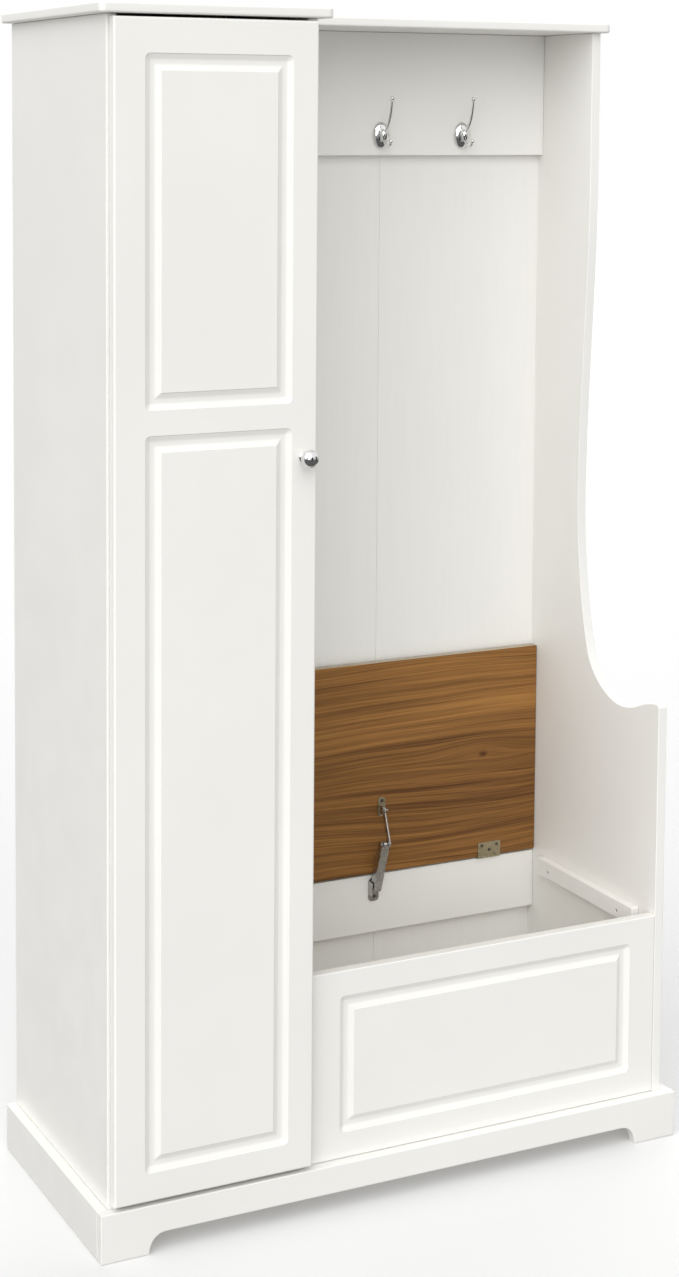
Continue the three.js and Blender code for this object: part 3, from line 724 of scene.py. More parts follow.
def face_lines(low, high, lips, edge, thickness, sizes):
    """Grid lines across a routed face: places, and how far behind the face the edge's rounding puts
    them. lips are (place of an outer lip, +1 or -1 for the way to its inner lip)."""
    turn = np.linspace(0, math.pi / 2, 6)
    rim = np.concatenate([[0, 0], edge * (1 - np.cos(turn[1:]))])
    drop = np.concatenate([[thickness, edge], edge * (1 - np.sin(turn[1:]))])
    knots = np.concatenate([[-0.4 * MM, 0.0, 0.25 * MM], np.linspace(0.0, sizes.groove_width, 25)[1:-1],
                            sizes.groove_width - np.array([0.25 * MM, 0.0, -0.4 * MM])])
    inner = np.concatenate([place + way * knots for place, way in lips])
    inner = np.unique(np.round(inner, 7))
    places = np.concatenate([low + rim, inner, (high - rim)[::-1]])
    drops = np.concatenate([drop, np.zeros(inner.size), drop[::-1]])
    return places, drops


def routed_board(low, high, panels, edge, sizes):
    """A board facing -Y whose face is a grid: each point lies behind the front by the greater of its
    edge rounding and its groove depth. The back is one flat face."""
    thickness = high[1] - low[1]
    x_lips = [(x, way) for (x0, _), (x1, _) in panels for x, way in ((x0, 1), (x1, -1))]
    z_lips = [(z, way) for (_, z0), (_, z1) in panels for z, way in ((z0, 1), (z1, -1))]
    xs, x_drop = face_lines(low[0], high[0], x_lips, edge, thickness, sizes)
    zs, z_drop = face_lines(low[2], high[2], z_lips, edge, thickness, sizes)
    x, z = np.meshgrid(xs, zs, indexing="ij")
    behind = np.maximum(x_drop[:, None], z_drop[None, :])
    for panel in panels:
        behind = np.maximum(behind, groove_depth(x, z, panel, sizes))
    points = np.stack([x, low[1] + behind, z], axis=-1)
    rows, columns = x.shape
    index = np.arange(rows * columns).reshape(rows, columns)
    border = np.concatenate([index[0, :], index[1:, -1], index[-1, -2::-1], index[-2:0:-1, 0]])
    faces = grid_faces(rows, columns)
    faces.append(border.tolist())
    return points.reshape(-1, 3), faces


def make_bench_front(sizes):
    node = "bench_front_panel"
    low, high = corners(node)
    side, below, above = 47.5 * MM, 40 * MM, 39 * MM
    panel = ((low[0] + side, low[2] + below), (high[0] - side, high[2] - above))
    shell = routed_board(low, high, [panel], sizes.edge_radius * 1.3, sizes)
    add_piece("routed_bench_front", [shell], "white_paint", body_of(node), [node], crease=30)


HINGES = (1, 2, 3)


def make_door(sizes):
    """The door with two routed frames; the three cup bores are cut from its back."""
    node = "door_panel"
    low, high = corners(node)
    left = low[0] + 47.5 * MM
    right = high[0] - 41 * MM
    upper_margin, upper_reach = 50 * MM, 549.5 * MM
    lower_margin, lower_reach = 43 * MM, 1114.5 * MM
    upper = ((left, high[2] - upper_reach), (right, high[2] - upper_margin))
    lower = ((left, low[2] + lower_margin), (right, low[2] + lower_reach))
    edge = 3.2 * MM
    shell = routed_board(low, high, [upper, lower], edge, sizes)
    door = add_piece("routed_door", [shell], "white_paint", body_of(node), [node], crease=30)
    bore_radius = 17.6 * MM
    bore_depth = 12 * MM
    bores = []
    for number in HINGES:
        centre = middle("hinge_cup_{}".format(number))
        bores.append(round_bore((centre[0], high[1], centre[2]), Y, bore_radius, bore_depth))
    cut_bores(door, bores)


def round_bore(mouth, outward, radius, depth):
    """The room that a blind round hole takes up: a turned solid standing 1 mm out of its mouth."""
    proud = 1 * MM
    profile = [(0, proud), (radius, proud), (radius, -depth), (0, -depth)]
    return turned(profile, mouth, outward, 48)


def cut_bores(piece, bores):
    """Takes the bores out of a piece."""
    mesh = welded("bores", bores)
    cutter = bpy.data.objects.new("bores", mesh)
    bpy.context.scene.collection.objects.link(cutter)
    cut = piece.modifiers.new("Bores", "BOOLEAN")
    cut.operation = "DIFFERENCE"
    cut.solver = "EXACT"
    cut.object = cutter
    piece.modifiers.move(len(piece.modifiers) - 1, 0)
    bpy.context.view_layer.update()
    evaluated = piece.evaluated_get(bpy.context.evaluated_depsgraph_get())
    bored = bpy.data.meshes.new_from_object(evaluated)
    piece.modifiers.remove(cut)
    piece.data = bored
    bored.set_sharp_from_angle(angle=math.radians(30))
    bpy.data.objects.remove(cutter)
    bpy.data.meshes.remove(mesh)


# ---- knob and hooks -------------------------------------------------------------------------
def make_knob():
    """A turned knob: rosette, short waisted neck, and a head whose section is most of an ellipse."""
    node = "door_knob"
    low, high = corners(node)
    centre = middle(node)
    centre[1] = high[1]
    reach = high[1] - low[1]
    head = (high[0] - low[0]) / 2
    rosette = [(0, 0), (8.2, 0), (8.35, 0.6), (8.1, 1.5), (7.3, 2.1), (7.0, 2.8), (6.3, 3.6)]
    neck = [(5.8, 4.8), (5.6, 6.2), (5.9, 7.8), (7.0, 9.2)]
    profile = np.array(rosette + neck) * MM
    head_middle = 20.5 * MM
    half = reach - head_middle
    turn = np.radians(np.linspace(-58, 90, 24))
    dome = np.stack([head * np.cos(turn), head_middle + half * np.sin(turn)], axis=1)
    dome[-1, 0] = 0
    shell = turned(np.concatenate([profile, dome]), centre, -Y, 64)
    add_piece("turned_knob", [shell], "chrome_plate", body_of(node), [node], crease=60)


def make_hooks():
    """Three cast hooks: an oval plate domed like half an ellipse, and the casting that it carries."""
    for number in (1, 2, 3):
        plate = "hook_plate_{}".format(number)
        prongs = "hook_prongs_{}".format(number)
        low, high = corners(plate)
        wide = (high[0] - low[0]) / 2
        tall = (high[2] - low[2]) / 2
        rise = high[1] - low[1]
        turn = np.radians(np.linspace(6, 90, 18))
        dome = np.stack([np.cos(turn) * wide, (0.16 + 0.84 * np.sin(turn)) * rise], axis=1)
        dome[-1, 0] = 0
        profile = np.concatenate([[(0, 0), (wide * 0.97, 0), (wide, rise * 0.1)], dome])
        origin = middle(plate)
        origin[1] = high[1]
        face = turned(profile, origin, -Y, 72, stretch=(1.0, tall / wide))
        add_piece("domed_" + plate, [face], "chrome_plate", body_of(plate), [plate], crease=60)
        origin[1] = low[1]
        add_piece("cast_" + prongs, hook_casting(origin), "chrome_plate", body_of(prongs), [prongs],
                  crease=60)


def hook_casting(origin):
    """A boss, and two rods along Bezier curves in the upright plane through the plate's middle, which
    taper to a collar and a ball at the long prong's tip and to a ball at the short one's."""
    x, face, z = origin

    def at(out, up):
        return (x, face - out * MM, z + up * MM)

    long_reach, short_reach = 29.3, 26.3
    upper = curve([at(1, 3), at(16, 12), at(27, 30), at(long_reach, 58)], 28)
    lower = curve([at(1, -3), at(9, -20), at(23, -23), at(short_reach, -11)], 20)
    upper_radius = np.linspace(3.1, 1.7, len(upper)) * MM
    lower_radius = np.linspace(3.0, 2.1, len(lower)) * MM
    collar = np.array([(0, 0), (2.4, 0), (2.8, 0.5), (2.8, 1.1), (2.3, 1.6), (0, 1.6)]) * MM
    turn = np.radians(np.linspace(-90, 90, 19))
    boss = np.stack([np.cos(turn) * 6.6, np.sin(turn) * 4.6], axis=1) * MM
    boss[[0, -1], 0] = 0
    return [
        turned(boss, at(3.9, 0), -Y, 40, stretch=(1.0, 1.6)),
        rod(upper, upper_radius, X, 20),
        rod(lower, lower_radius, X, 20),
        turned(collar, at(long_reach, 54.6), Z, 28),
        ball(at(long_reach, 60), 3.8 * MM, 28),
        ball(at(short_reach, -10), 3.6 * MM, 28)]


# ---- bench lid ------------------------------------------------------------------------------
def lid_outline():
    """The lid seen from the front: softly rounded corners, and a notch round each hinge's barrel."""
    low, high = corners("lid_board")
    notch_top = pivot_of("lid_swing")[2] + 4 * MM
    clearance = 1 * MM
    corner = 2.5 * MM
    bottom = [arc((low[0] + corner, low[2] + corner), corner, 180, 270, 5)]
    for side in ("left", "right"):
        hinge_low, hinge_high = corners("hinge_lid_leaf_" + side)
        start = hinge_low[0] - clearance
        end = hinge_high[0] + clearance
        bottom.append([(start, low[2]), (start, notch_top), (end, notch_top), (end, low[2])])
    bottom.append(arc((high[0] - corner, low[2] + corner), corner, 270, 360, 5))
    bottom.append(arc((high[0] - corner, high[2] - corner), corner, 0, 90, 5))
    bottom.append(arc((low[0] + corner, high[2] - corner), corner, 90, 180, 5))
    return np.concatenate(bottom)


def make_lid():
    """The walnut lid; its narrow faces carry the edge band."""
    node = "lid_board"
    low, high = corners(node)
    lid = add_piece("walnut_lid", [board(lid_outline(), low[1], high[1], 0.9 * MM, "y")],
                    "walnut_board", body_of(node), [node])
    lid.data.materials.append(finish("lid_edging"))
    normals = np.empty(len(lid.data.polygons) * 3)
    lid.data.polygons.foreach_get("normal", normals)
    on_edge = np.abs(normals.reshape(-1, 3)[:, 1]) < 0.6
    lid.data.polygons.foreach_set("material_index", on_edge.astype(np.int32))


def make_lid_supports():
    """A batten on each side of the bench, held by two screws that are sunk into its face."""
    bore_radius = 3.2 * MM
    bore_depth = 2.2 * MM
    front_screw, back_screw = 43 * MM, 250 * MM
    below_middle = 3 * MM
    for side, facing in (("left", X), ("right", -X)):
        node = "lid_support_" + side
        low, high = corners(node)
        batten = add_piece("batten_" + side, [rounded_box(low, high, 2 * MM, 4)], "white_paint",
                           body_of(node), [node])
        face = high[0] if side == "left" else low[0]
        height = (low[2] + high[2]) / 2 - below_middle
        mouths = [np.array((face, low[1] + behind, height)) for behind in (front_screw, back_screw)]
        cut_bores(batten, [round_bore(mouth, facing, bore_radius, bore_depth) for mouth in mouths])
        add_screws("batten_screws_" + side, mouths, facing, bore_radius, body_of(node), bore_depth)


KNUCKLES = 5                 # lengths of the barrel; the lid's leaf has the first, third and fifth
KNUCKLE_RADIUS = 3.15 * MM
KNUCKLE_BORE = 1.2 * MM
KNUCKLE_GAP = 0.15 * MM      # from each knuckle's end to the end of its length
LEAF_THICKNESS = 1.1 * MM
LEAF_EDGE = 0.25 * MM
LEAF_GAP = 0.3 * MM          # between a leaf and the board under it


def knuckle_shells(node, axis_point, first):
    """Every second length of the hinge's barrel, each a short turned ring with eased ends."""
    low, high = corners(node)
    length = (high[0] - low[0]) / KNUCKLES
    radius = KNUCKLE_RADIUS
    bore = KNUCKLE_BORE
    ease = 0.3 * MM
    shells = []
    for place in range(first, KNUCKLES, 2):
        start = low[0] + place * length + KNUCKLE_GAP
        span = length - 2 * KNUCKLE_GAP
        profile = [(bore, 0), (radius - ease, 0), (radius, ease), (radius, span - ease),
                   (radius - ease, span), (bore, span), (bore, 0)]
        shells.append(turned(profile, (start, axis_point[1], axis_point[2]), X, 32))
    return shells


def leaf_outline(start, end, axis, far, first):
    """A hinge leaf laid flat: it reaches in to its own knuckles, every second one from first, and
    stops clear of the other leaf's."""
    reach_in = axis + 1 * MM
    clear = axis + KNUCKLE_RADIUS + 0.4 * MM
    corner = 1.2 * MM
    length = (end - start) / KNUCKLES
    outline = [] if first == 0 else [(start, clear)]
    for place in range(first, KNUCKLES, 2):
        left = start + place * length + (KNUCKLE_GAP if place > 0 else 0)
        right = start + (place + 1) * length - (KNUCKLE_GAP if place < KNUCKLES - 1 else 0)
        if place > 0:
            outline.append((left, clear))
        outline += [(left, reach_in), (right, reach_in)]
        if place < KNUCKLES - 1:
            outline.append((right, clear))
    if place < KNUCKLES - 1:
        outline.append((end, clear))
    return np.concatenate([
        outline, arc((end - corner, far - corner), corner, 0, 90, 5),
        arc((start + corner, far - corner), corner, 90, 180, 5)])


def make_lid_leaf(side, axis_point, bore_radius):
    """The leaf up the lid, with three screws, and its knuckles."""
    node = "hinge_lid_leaf_" + side
    low, high = corners(node)
    face = corners("lid_board")[0][1] - LEAF_GAP - LEAF_THICKNESS
    outline = leaf_outline(low[0], high[0], axis_point[2], high[2], 0)
    leaf = board(outline, face, face + LEAF_THICKNESS, LEAF_EDGE, "y", steps=2)
    width = high[0] - low[0]
    upper, lower = high[2] - 6 * MM, high[2] - 14 * MM
    places = [(0.17, upper), (0.83, upper), (0.5, lower)]
    mouths = [np.array((low[0] + share * width, face, height)) for share, height in places]
    bored_leaf = add_piece("lid_leaf_" + side, [leaf], "yellow_zinc", body_of(node), [node])
    cut_bores(bored_leaf, [round_bore(mouth, -Y, bore_radius, 2 * LEAF_THICKNESS) for mouth in mouths])
    add_piece("lid_knuckles_" + side, knuckle_shells(node, axis_point, 0), "yellow_zinc", body_of(node))
    add_screws("lid_leaf_screws_" + side, mouths, -Y, bore_radius, body_of(node))


def make_rail_leaf(side, axis_point):
    """The leaf back over the rail, and its knuckles."""
    node = "hinge_rail_leaf_" + side
    low, high = corners(node)
    seat = corners("bench_rear_rail")[1][2] + LEAF_GAP
    outline = leaf_outline(low[0], high[0], axis_point[1], high[1], 1)
    leaf = board(outline, seat, seat + LEAF_THICKNESS, LEAF_EDGE, "z", steps=2)
    add_piece("rail_leaf_" + side, [leaf] + knuckle_shells(node, axis_point, 1),
              "yellow_zinc", body_of(node), [node])


def make_hinge_pin(side):
    """The pin through the barrel, stopping short of its ends."""
    node = "hinge_pin_" + side
    low, high = corners(node)
    centre = middle(node)
    inset = 1 * MM
    path = np.linspace((low[0] + inset, centre[1], centre[2]), (high[0] - inset, centre[1], centre[2]), 6)
    add_piece("pin_" + side, [rod(path, 1.1 * MM, Z, 16)], "yellow_zinc", body_of(node), [node])


def make_lid_hinges(sizes):
    """Butt hinges: a leaf up the lid and a leaf back over the rail, knuckles between, and a pin."""
    axis_point = pivot_of("lid_swing")
    for side in ("left", "right"):
        make_lid_leaf(side, axis_point, sizes.screw_radius)
        make_rail_leaf(side, axis_point)
        make_hinge_pin(side)


# ---- lid stay -------------------------------------------------------------------------------
OPEN_EYE = 4.66 * MM         # the arm's upper eye, wider than its pin by the linkage's play
OPEN_EYE_RIM = 6.26 * MM
STAY_PIN = 1.6 * MM
PIN_HOLE = 1.8 * MM
EAR_SHEET = 1.8 * MM         # thickness of the bent ears
SHEET_EDGE = 0.4 * MM


def stay_points():
    """The stay's three pivots: on the bracket, at the elbow, and on the lid plate."""
    base = pivot_of("stay_channel_swing")
    elbow = pivot_of("stay_elbow_swing")
    high = corners("stay_arm")[1]
    lid = np.array([elbow[0], high[1] - OPEN_EYE_RIM, high[2] - OPEN_EYE_RIM])
    return base, elbow, lid


def stay_pin(start, end, pivot):
    """A pin across the stay through a pivot, its shank running from start to end along X."""
    return rod(np.linspace((start, pivot[1], pivot[2]), (end, pivot[1], pivot[2]), 5), STAY_PIN, Z, 20)


def make_stay_bracket():
    """Foot plate on the rail with two screws, an ear, and the pivot pin."""
    node = "stay_bracket"
    base = stay_points()[0]
    low, high = corners(node)
    face = high[1] - EAR_SHEET
    foot_width, foot_corner = 20 * MM, 7 * MM
    outline = oblong((low[0], low[2]), (low[0] + foot_width, high[2]), foot_corner, 9)
    plate = board(outline, face, high[1], SHEET_EDGE, "y", steps=3)
    ear_half, ear_corner, into_plate = 12 * MM, 5 * MM, 1 * MM
    ear_outline = oblong((low[1], base[2] - ear_half), (face + into_plate, base[2] + ear_half), ear_corner)
    ear = board(ear_outline, low[0], low[0] + EAR_SHEET, 0.3 * MM, "x", steps=2)
    pin = stay_pin(low[0] + 1 * MM, high[0] - 1.2 * MM, base)
    add_piece("ear_of_stay", [ear, pin], "bright_steel", body_of(node))
    foot = add_piece("bracket_of_stay", [plate], "bright_steel", body_of(node), [node])
    bore_radius, bore_depth = 3.2 * MM, 4 * MM
    mouths = [np.array((low[0] + 11 * MM, face, low[2] + up * MM)) for up in (8, 34)]
    cut_bores(foot, [round_bore(mouth, -Y, bore_radius, bore_depth) for mouth in mouths])
    add_screws("bracket_screws", mouths, -Y, bore_radius, body_of(node))


def make_stay_channel():
    """Folded channel: two cheeks with round ends, bored for the pins, and a web between them."""
    node = "stay_channel"
    base, elbow, _ = stay_points()
    low, high = corners(node)
    wall = 1.2 * MM
    half = 6.1 * MM
    start = base[1:]
    end = elbow[1:]
    along = (end - start) / np.linalg.norm(end - start)
    across = np.array([-along[1], along[0]])
    cheeks = [board(link_outline(start, end, half), x, x + wall, 0.35 * MM, "x", steps=2)
              for x in (low[0], high[0] - wall)]
    lead = 1 * MM
    web_outline = np.array([
        end + along * lead + across * (half - wall), end + along * lead + across * half,
        start - along * lead + across * half, start - along * lead + across * (half - wall)])
    web = board(web_outline, low[0] + 0.5 * MM, high[0] - 0.5 * MM, 0.3 * MM, "x", steps=2)
    channel = add_piece("channel_of_stay", cheeks, "bright_steel", body_of(node), [node])
    depth = high[0] - low[0] + 1 * MM
    cut_bores(channel, [round_bore((high[0], y, z), X, PIN_HOLE, depth) for y, z in (start, end)])
    add_piece("web_of_channel", [web], "bright_steel", body_of(node))


def make_stay_arm():
    """Flat bar from the elbow to the lid, with an eye at each end that the bar's end runs into."""
    node = "stay_arm"
    _, elbow, lid = stay_points()
    low, high = corners(node)
    middle_x = (low[0] + high[0]) / 2
    thickness = high[0] - low[0]
    half_width, elbow_rim = 4.3 * MM, 4.6 * MM
    from_elbow, from_lid = 3.0 * MM, 5.2 * MM
    along = (lid - elbow) / np.linalg.norm(lid - elbow)
    start = (elbow + along * from_elbow)[1:]
    end = (lid - along * from_lid)[1:]
    side = np.array([-along[2], along[1]]) * half_width
    bar = board(np.array([start - side, end - side, end + side, start + side]),
                low[0], high[0], SHEET_EDGE, "x", steps=3)
    eyes = [washer((middle_x, elbow[1], elbow[2]), X, PIN_HOLE, elbow_rim, thickness),
            washer((middle_x, lid[1], lid[2]), X, OPEN_EYE, OPEN_EYE_RIM, thickness)]
    add_piece("arm_of_stay", [bar] + eyes, "bright_steel", body_of(node), [node])


def make_stay_rivet():
    """The elbow's rivet: a pin with a low head that stands clear of the arm."""
    node = "stay_elbow_pin"
    low, high = corners(node)
    centre = middle(node)
    head_radius, head_height = 3.1 * MM, 1.15 * MM
    head = [(0, 0), (head_radius, 0), (head_radius, 0.4 * MM), (2.2 * MM, 1.0 * MM), (0, head_height)]
    shells = [stay_pin(low[0] + STAY_PIN, high[0] - STAY_PIN, centre),
              turned(head, (high[0] - head_height, centre[1], centre[2]), X, 32)]
    add_piece("rivet_of_stay", shells, "bright_steel", body_of(node), [node])


def make_stay_lid_plate():
    """The plate on the lid with two screws, its ear, and the pin that the arm's open eye goes round."""
    node = "stay_lid_plate"
    lid = stay_points()[2]
    low, high = corners(node)
    face = high[1] - 1.6 * MM
    plate_width, plate_corner = 14 * MM, 6.9 * MM
    outline = oblong((low[0], low[2]), (low[0] + plate_width, high[2]), plate_corner, 9)
    plate = board(outline, face, high[1], SHEET_EDGE, "y", steps=3)
    ear_right = corners("stay_arm")[0][0] - 0.3 * MM
    ear_reach, ear_half, ear_corner, into_plate = 4.5 * MM, 7 * MM, 4 * MM, 0.8 * MM
    ear_outline = oblong((lid[1] - ear_reach, lid[2] - ear_half),
                         (face + into_plate, lid[2] + ear_half), ear_corner)
    ear = board(ear_outline, ear_right - EAR_SHEET, ear_right, 0.3 * MM, "x", steps=2)
    pin = stay_pin(ear_right - 1 * MM, high[0] - STAY_PIN, lid)
    add_piece("lid_ear_of_stay", [ear, pin], "bright_steel", body_of(node))
    lid_plate = add_piece("lid_plate_of_stay", [plate], "yellow_zinc", body_of(node), [node])
    bore_radius, bore_depth = 2.9 * MM, 4 * MM
    heights = (low[2] + 5 * MM, high[2] - 6.5 * MM)
    mouths = [np.array((low[0] + plate_width / 2, face, height)) for height in heights]
    cut_bores(lid_plate, [round_bore(mouth, -Y, bore_radius, bore_depth) for mouth in mouths])
    add_screws("lid_plate_screws", mouths, -Y, bore_radius, body_of(node))


def make_stay_spring():
    """A helix of wire inside the channel, and a few wider turns of the same wire round the elbow."""
    node = "stay_spring"
    base, elbow, _ = stay_points()
    along = elbow - base
    along[0] = 0
    along /= np.linalg.norm(along)
    other = np.cross(along, X)
    wire = 0.65 * MM
    centre_x = middle("stay_channel")[0]

    coil_radius, coil_length, coil_turns = 3.2 * MM, 66 * MM, 22
    start = np.array([centre_x, base[1], base[2]]) + along * 12 * MM
    t = np.linspace(0, 1, coil_turns * 14)
    angle = 2 * math.pi * coil_turns * t
    coil = (start + np.outer(t * coil_length, along) + coil_radius * np.outer(np.cos(angle), X)
            + coil_radius * np.outer(np.sin(angle), other))

    loop_radius, loops_width, loop_turns = 4.8 * MM, 6 * MM, 3.5
    angle = np.linspace(0, 2 * math.pi * loop_turns, 60)
    loops = (np.array([centre_x - loops_width / 2, elbow[1], elbow[2]])
             + np.outer(angle / angle[-1] * loops_width, X)
             + loop_radius * (np.outer(np.cos(angle), along) + np.outer(np.sin(angle), other)))
    shells = [rod(coil, wire, along, 8), rod(loops, wire, X, 8)]
    add_piece("coil_of_stay", shells, "bright_steel", body_of(node), [node])


# ---- cupboard fittings ----------------------------------------------------------------------
def make_cup_hinges():
    """Drawn steel cups with a round flange, each a turned section, and two screws on each mounting
    plate. The arms and plates themselves are kept CAD nodes."""
    back = corners("door_panel")[1][1]
    for number in HINGES:
        cup = "hinge_cup_{}".format(number)
        centre = middle(cup)
        profile = [(r * MM, d * MM) for r, d in [
            (0, -11.5), (15.6, -11.5), (17.0, -10.2), (17.3, -8.6), (17.3, 0.3), (18.7, 0.3), (19.0, 0.6),
            (18.7, 1.45), (16.6, 1.45), (16.05, 0.9), (16.0, -1), (15.8, -8.6), (14.6, -10.3), (0, -10.3)]]
        origin = (centre[0], back, centre[2])
        bowl = turned(profile, origin, Y, 56)
        add_piece("bowl_" + cup, [bowl], "bright_steel", body_of(cup), [cup], crease=45)
        plate = "hinge_plate_{}".format(number)
        face = corners(plate)[1][0]
        place = middle(plate)
        off_middle, head_radius, head_height = 17 * MM, 3.4 * MM, 0.9 * MM
        heads = [screw((face, place[1], place[2] + up), X, head_radius, head_height)
                 for up in (-off_middle, off_middle)]
        add_piece("fixings_" + plate, heads, "bright_steel", body_of(plate))


def make_catch():
    """Magnetic catch: a rounded housing with two pole strips at its mouth."""
    node = "magnet_catch"
    low, high = corners(node)
    edge = 1.2 * MM
    housing = rounded_box(low + (0, edge, 0), high, edge)
    add_piece("housing_of_catch", [housing], "grey_plastic", body_of(node), [node])
    poles = [rounded_box((low[0] + inset * MM, low[1], low[2] + 6 * MM),
                         (low[0] + (inset + 2) * MM, low[1] + 6 * MM, high[2] - 6 * MM), 0.3 * MM, 2)
             for inset in (3, 8)]
    add_piece("poles_of_catch", poles, "bright_steel", body_of(node))


KEPT = ("hinge_arm_1", "hinge_arm_2", "hinge_arm_3", "hinge_plate_1", "hinge_plate_2", "hinge_plate_3",
        "catch_plate", "door_knob_screw")


def finish_kept_nodes():
    """CAD nodes whose shape is right already get their finish only."""
    for node in KEPT:
        frame["nodes"][node].material_slots[0].material = finish(slot_of(node))


# ---- studio ---------------------------------------------------------------------------------
CAMERA_PLACE = (-1.6306, -3.0738, 1.6309)
CAMERA_YAW = 25.43           # degrees, turned towards +X
CAMERA_PITCH = -4.62
CAMERA_ROLL = 0.24
CAMERA_LENS = 63.2
CAMERA_SHIFT = (0.0654, -0.260)
AMBIENT = 0.53               # share of the white surround that lights the pieces


def make_camera():
    data = bpy.data.cameras.new("camera")
    data.lens = CAMERA_LENS
    data.sensor_width = 36
    data.shift_x, data.shift_y = CAMERA_SHIFT
    data.clip_start, data.clip_end = 0.1, 200
    camera = bpy.data.objects.new("camera", data)
    yaw = Matrix.Rotation(math.radians(-CAMERA_YAW), 4, "Z")
    pitch = Matrix.Rotation(math.radians(90 + CAMERA_PITCH), 4, "X")
    roll = Matrix.Rotation(math.radians(CAMERA_ROLL), 4, "Z")
    camera.matrix_world = Matrix.Translation(CAMERA_PLACE) @ yaw @ pitch @ roll
    bpy.context.scene.collection.objects.link(camera)
    bpy.context.scene.camera = camera


def make_sun(name, toward, strength, softness):
    """A distant light coming from a direction; softness is its width in degrees."""
    data = bpy.data.lights.new(name, "SUN")
    data.energy = strength
    data.angle = math.radians(softness)
    sun = bpy.data.objects.new(name, data)
    sun.rotation_mode = "QUATERNION"
    sun.rotation_quaternion = Vector(toward).to_track_quat("Z", "Y")
    bpy.context.scene.collection.objects.link(sun)


def make_floor(colours):
    """A wide pale floor: one flat sheet of a few faces."""
    reach = 40.0
    side = np.linspace(-reach, reach, 5)
    x, y = np.meshgrid(side, side, indexing="ij")
    points = np.stack([x, y, np.full_like(x, -0.0003)], axis=-1).reshape(-1, 3)
    mesh = bpy.data.meshes.new("floor")
    mesh.from_pydata(points.tolist(), [], [face[::-1] for face in grid_faces(5, 5)])
    pale = Recipe("pale_floor", colours.floor, 0.7)
    cloud = pale.noise(pale.place, 0.8, detail=2)
    pale.colour(pale.ramp(cloud, [(0.3, shade(colours.floor, 0.99)), (0.7, colours.floor)]))
    mesh.materials.append(pale.material)
    floor = bpy.data.objects.new("floor", mesh)
    floor.visible_diffuse = False
    floor.visible_glossy = False
    bpy.context.scene.collection.objects.link(floor)


def make_dark_cards():
    """Dark cards that only reflections see, so that the plated pieces have something to mirror."""
    card = Recipe("dark_card", (0.015, 0.015, 0.016), 0.9)
    for number, (x, y, width) in enumerate(((-3.4, -2.6, 1.3), (0.6, -4.2, 1.5), (3.4, -2.0, 1.3))):
        across = np.array([-y, x, 0.0]) / math.hypot(x, y) * width / 2
        foot = np.array([x, y, 0.1])
        head = np.array([x, y, 2.6])
        points = [foot - across, foot + across, head + across, head - across]
        name = "dark_card_{}".format(number + 1)
        mesh = bpy.data.meshes.new(name)
        mesh.from_pydata([point.tolist() for point in points], [], [(0, 1, 2, 3)])
        mesh.materials.append(card.material)
        sheet = bpy.data.objects.new(name, mesh)
        for ray in ("camera", "diffuse", "shadow", "transmission", "volume_scatter"):
            setattr(sheet, "visible_" + ray, False)
        bpy.context.scene.collection.objects.link(sheet)


def make_world():
    """A white surround. As a light it is dimmer than it looks, and what shiny pieces mirror of it fades
    from white overhead to dark below the horizon."""
    world = bpy.data.worlds.new("studio")
    world.use_nodes = True
    tree = world.node_tree
    background = tree.nodes["Background"]
    background.inputs["Color"].default_value = (1.0, 1.0, 1.0, 1.0)
    path = tree.nodes.new("ShaderNodeLightPath")
    direction = tree.nodes.new("ShaderNodeTexCoord")
    axes = tree.nodes.new("ShaderNodeSeparateXYZ")
    tree.links.new(direction.outputs["Generated"], axes.inputs["Vector"])
    mirrored = tree.nodes.new("ShaderNodeMapRange")
    for socket, number in (("From Min", -0.25), ("From Max", 0.35), ("To Min", 0.12), ("To Max", 1.0)):
        mirrored.inputs[socket].default_value = number
    tree.links.new(axes.outputs["Z"], mirrored.inputs["Value"])
    strength = mirrored.outputs["Result"]
    for ray, other in (("Is Glossy Ray", AMBIENT), ("Is Camera Ray", 1.0)):
        choice = tree.nodes.new("ShaderNodeMix")
        tree.links.new(path.outputs[ray], choice.inputs["Factor"])
        if ray == "Is Glossy Ray":
            choice.inputs["A"].default_value = other
            tree.links.new(strength, choice.inputs["B"])
        else:
            tree.links.new(strength, choice.inputs["A"])
            choice.inputs["B"].default_value = other
        strength = choice.outputs["Result"]
    tree.links.new(strength, background.inputs["Strength"])
    bpy.context.scene.world = world
    bpy.context.scene.view_settings.view_transform = "Standard"
    bpy.context.scene.view_settings.look = "None"


# ---- operators ------------------------------------------------------------------------------
class HALLTREE_OT_case(Operator):
    """Build the painted boards, back sheets, tops and plinth of the case"""
    bl_idname = "hall_tree.case"
    bl_label = "Case"

    def execute(self, context):
        sizes = context.scene.hall_tree_sizes
        make_plain_boards(sizes)
        make_back_sheets()
        make_tops(sizes)
        make_plinth_front(sizes)
        return {"FINISHED"}


class HALLTREE_OT_right_side(Operator):
    """Build the right side with its long double curve"""
    bl_idname = "hall_tree.right_side"
    bl_label = "Right side"

    def execute(self, context):
        make_right_side(context.scene.hall_tree_sizes)
        return {"FINISHED"}


class HALLTREE_OT_bench_front(Operator):
    """Build the routed bench front"""
    bl_idname = "hall_tree.bench_front"
    bl_label = "Bench front"

    def execute(self, context):
        make_bench_front(context.scene.hall_tree_sizes)
        return {"FINISHED"}


class HALLTREE_OT_door(Operator):
    """Build the routed door and its knob"""
    bl_idname = "hall_tree.door"
    bl_label = "Door"

    def execute(self, context):
        make_door(context.scene.hall_tree_sizes)
        make_knob()
        return {"FINISHED"}


class HALLTREE_OT_hooks(Operator):
    """Build the three cast hooks"""
    bl_idname = "hall_tree.hooks"
    bl_label = "Hooks"

    def execute(self, context):
        make_hooks()
        return {"FINISHED"}


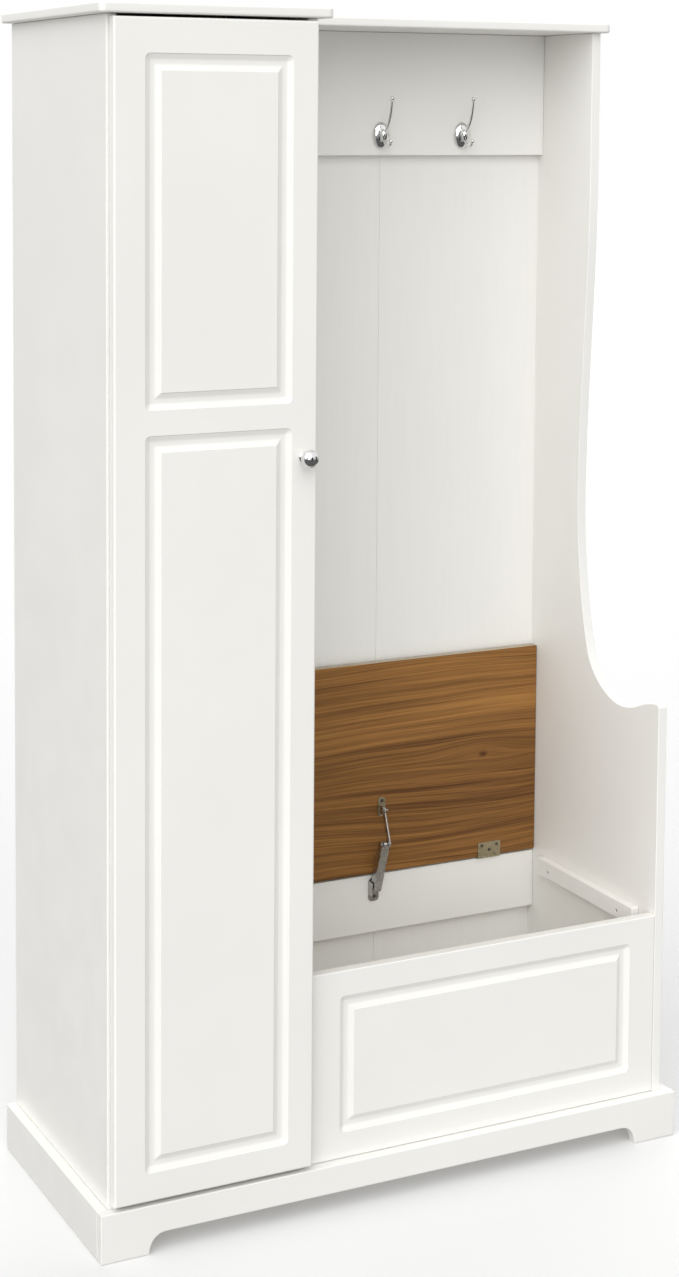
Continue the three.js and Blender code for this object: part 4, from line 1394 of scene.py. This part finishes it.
class HALLTREE_OT_lid(Operator):
    """Build the walnut lid, its supports and its hinges"""
    bl_idname = "hall_tree.lid"
    bl_label = "Lid"

    def execute(self, context):
        make_lid()
        make_lid_supports()
        make_lid_hinges(context.scene.hall_tree_sizes)
        return {"FINISHED"}


class HALLTREE_OT_stay(Operator):
    """Build the lid stay with its bracket, channel, arm, plate and spring"""
    bl_idname = "hall_tree.stay"
    bl_label = "Lid stay"

    def execute(self, context):
        make_stay_bracket()
        make_stay_channel()
        make_stay_arm()
        make_stay_rivet()
        make_stay_lid_plate()
        make_stay_spring()
        return {"FINISHED"}


class HALLTREE_OT_fittings(Operator):
    """Build the cup hinges and the catch, and finish the small nodes kept as they are"""
    bl_idname = "hall_tree.fittings"
    bl_label = "Cupboard fittings"

    def execute(self, context):
        make_cup_hinges()
        make_catch()
        finish_kept_nodes()
        return {"FINISHED"}


class HALLTREE_OT_studio(Operator):
    """Set up the floor, the light and the camera"""
    bl_idname = "hall_tree.studio"
    bl_label = "Studio"

    def execute(self, context):
        make_camera()
        make_floor(context.scene.hall_tree_colours)
        make_dark_cards()
        make_world()
        make_sun("key", (-0.55, -0.60, 0.60), 2.68, 80)
        make_sun("back", (0.60, 0.75, 0.35), 1.1, 60)
        return {"FINISHED"}


OPERATORS = (
    HALLTREE_OT_case, HALLTREE_OT_right_side, HALLTREE_OT_bench_front, HALLTREE_OT_door,
    HALLTREE_OT_hooks, HALLTREE_OT_lid, HALLTREE_OT_stay, HALLTREE_OT_fittings, HALLTREE_OT_studio)


class HALLTREE_PT_sidebar(Panel):
    """Lists the pieces and their settings in the 3D view's sidebar"""
    bl_idname = "HALLTREE_PT_sidebar"
    bl_label = "Hall Tree"
    bl_space_type = "VIEW_3D"
    bl_region_type = "UI"
    bl_category = "Hall Tree"

    def draw(self, context):
        for operator in OPERATORS:
            self.layout.operator(operator.bl_idname)
        for settings in (context.scene.hall_tree_sizes, context.scene.hall_tree_colours):
            box = self.layout.box()
            for name in settings.__annotations__:
                box.prop(settings, name)


CLASSES = (HallTreeSizes, HallTreeColours, *OPERATORS, HALLTREE_PT_sidebar)


def register():
    for entry in CLASSES:
        bpy.utils.register_class(entry)
    bpy.types.Scene.hall_tree_sizes = PointerProperty(type=HallTreeSizes)
    bpy.types.Scene.hall_tree_colours = PointerProperty(type=HallTreeColours)


def unregister():
    del bpy.types.Scene.hall_tree_colours
    del bpy.types.Scene.hall_tree_sizes
    for entry in reversed(CLASSES):
        bpy.utils.unregister_class(entry)


def main():
    register()
    for name in ("studio", "case", "right_side", "bench_front", "door", "hooks", "lid", "stay", "fittings"):
        getattr(bpy.ops.hall_tree, name)()


if __name__ == "__main__":
    main()
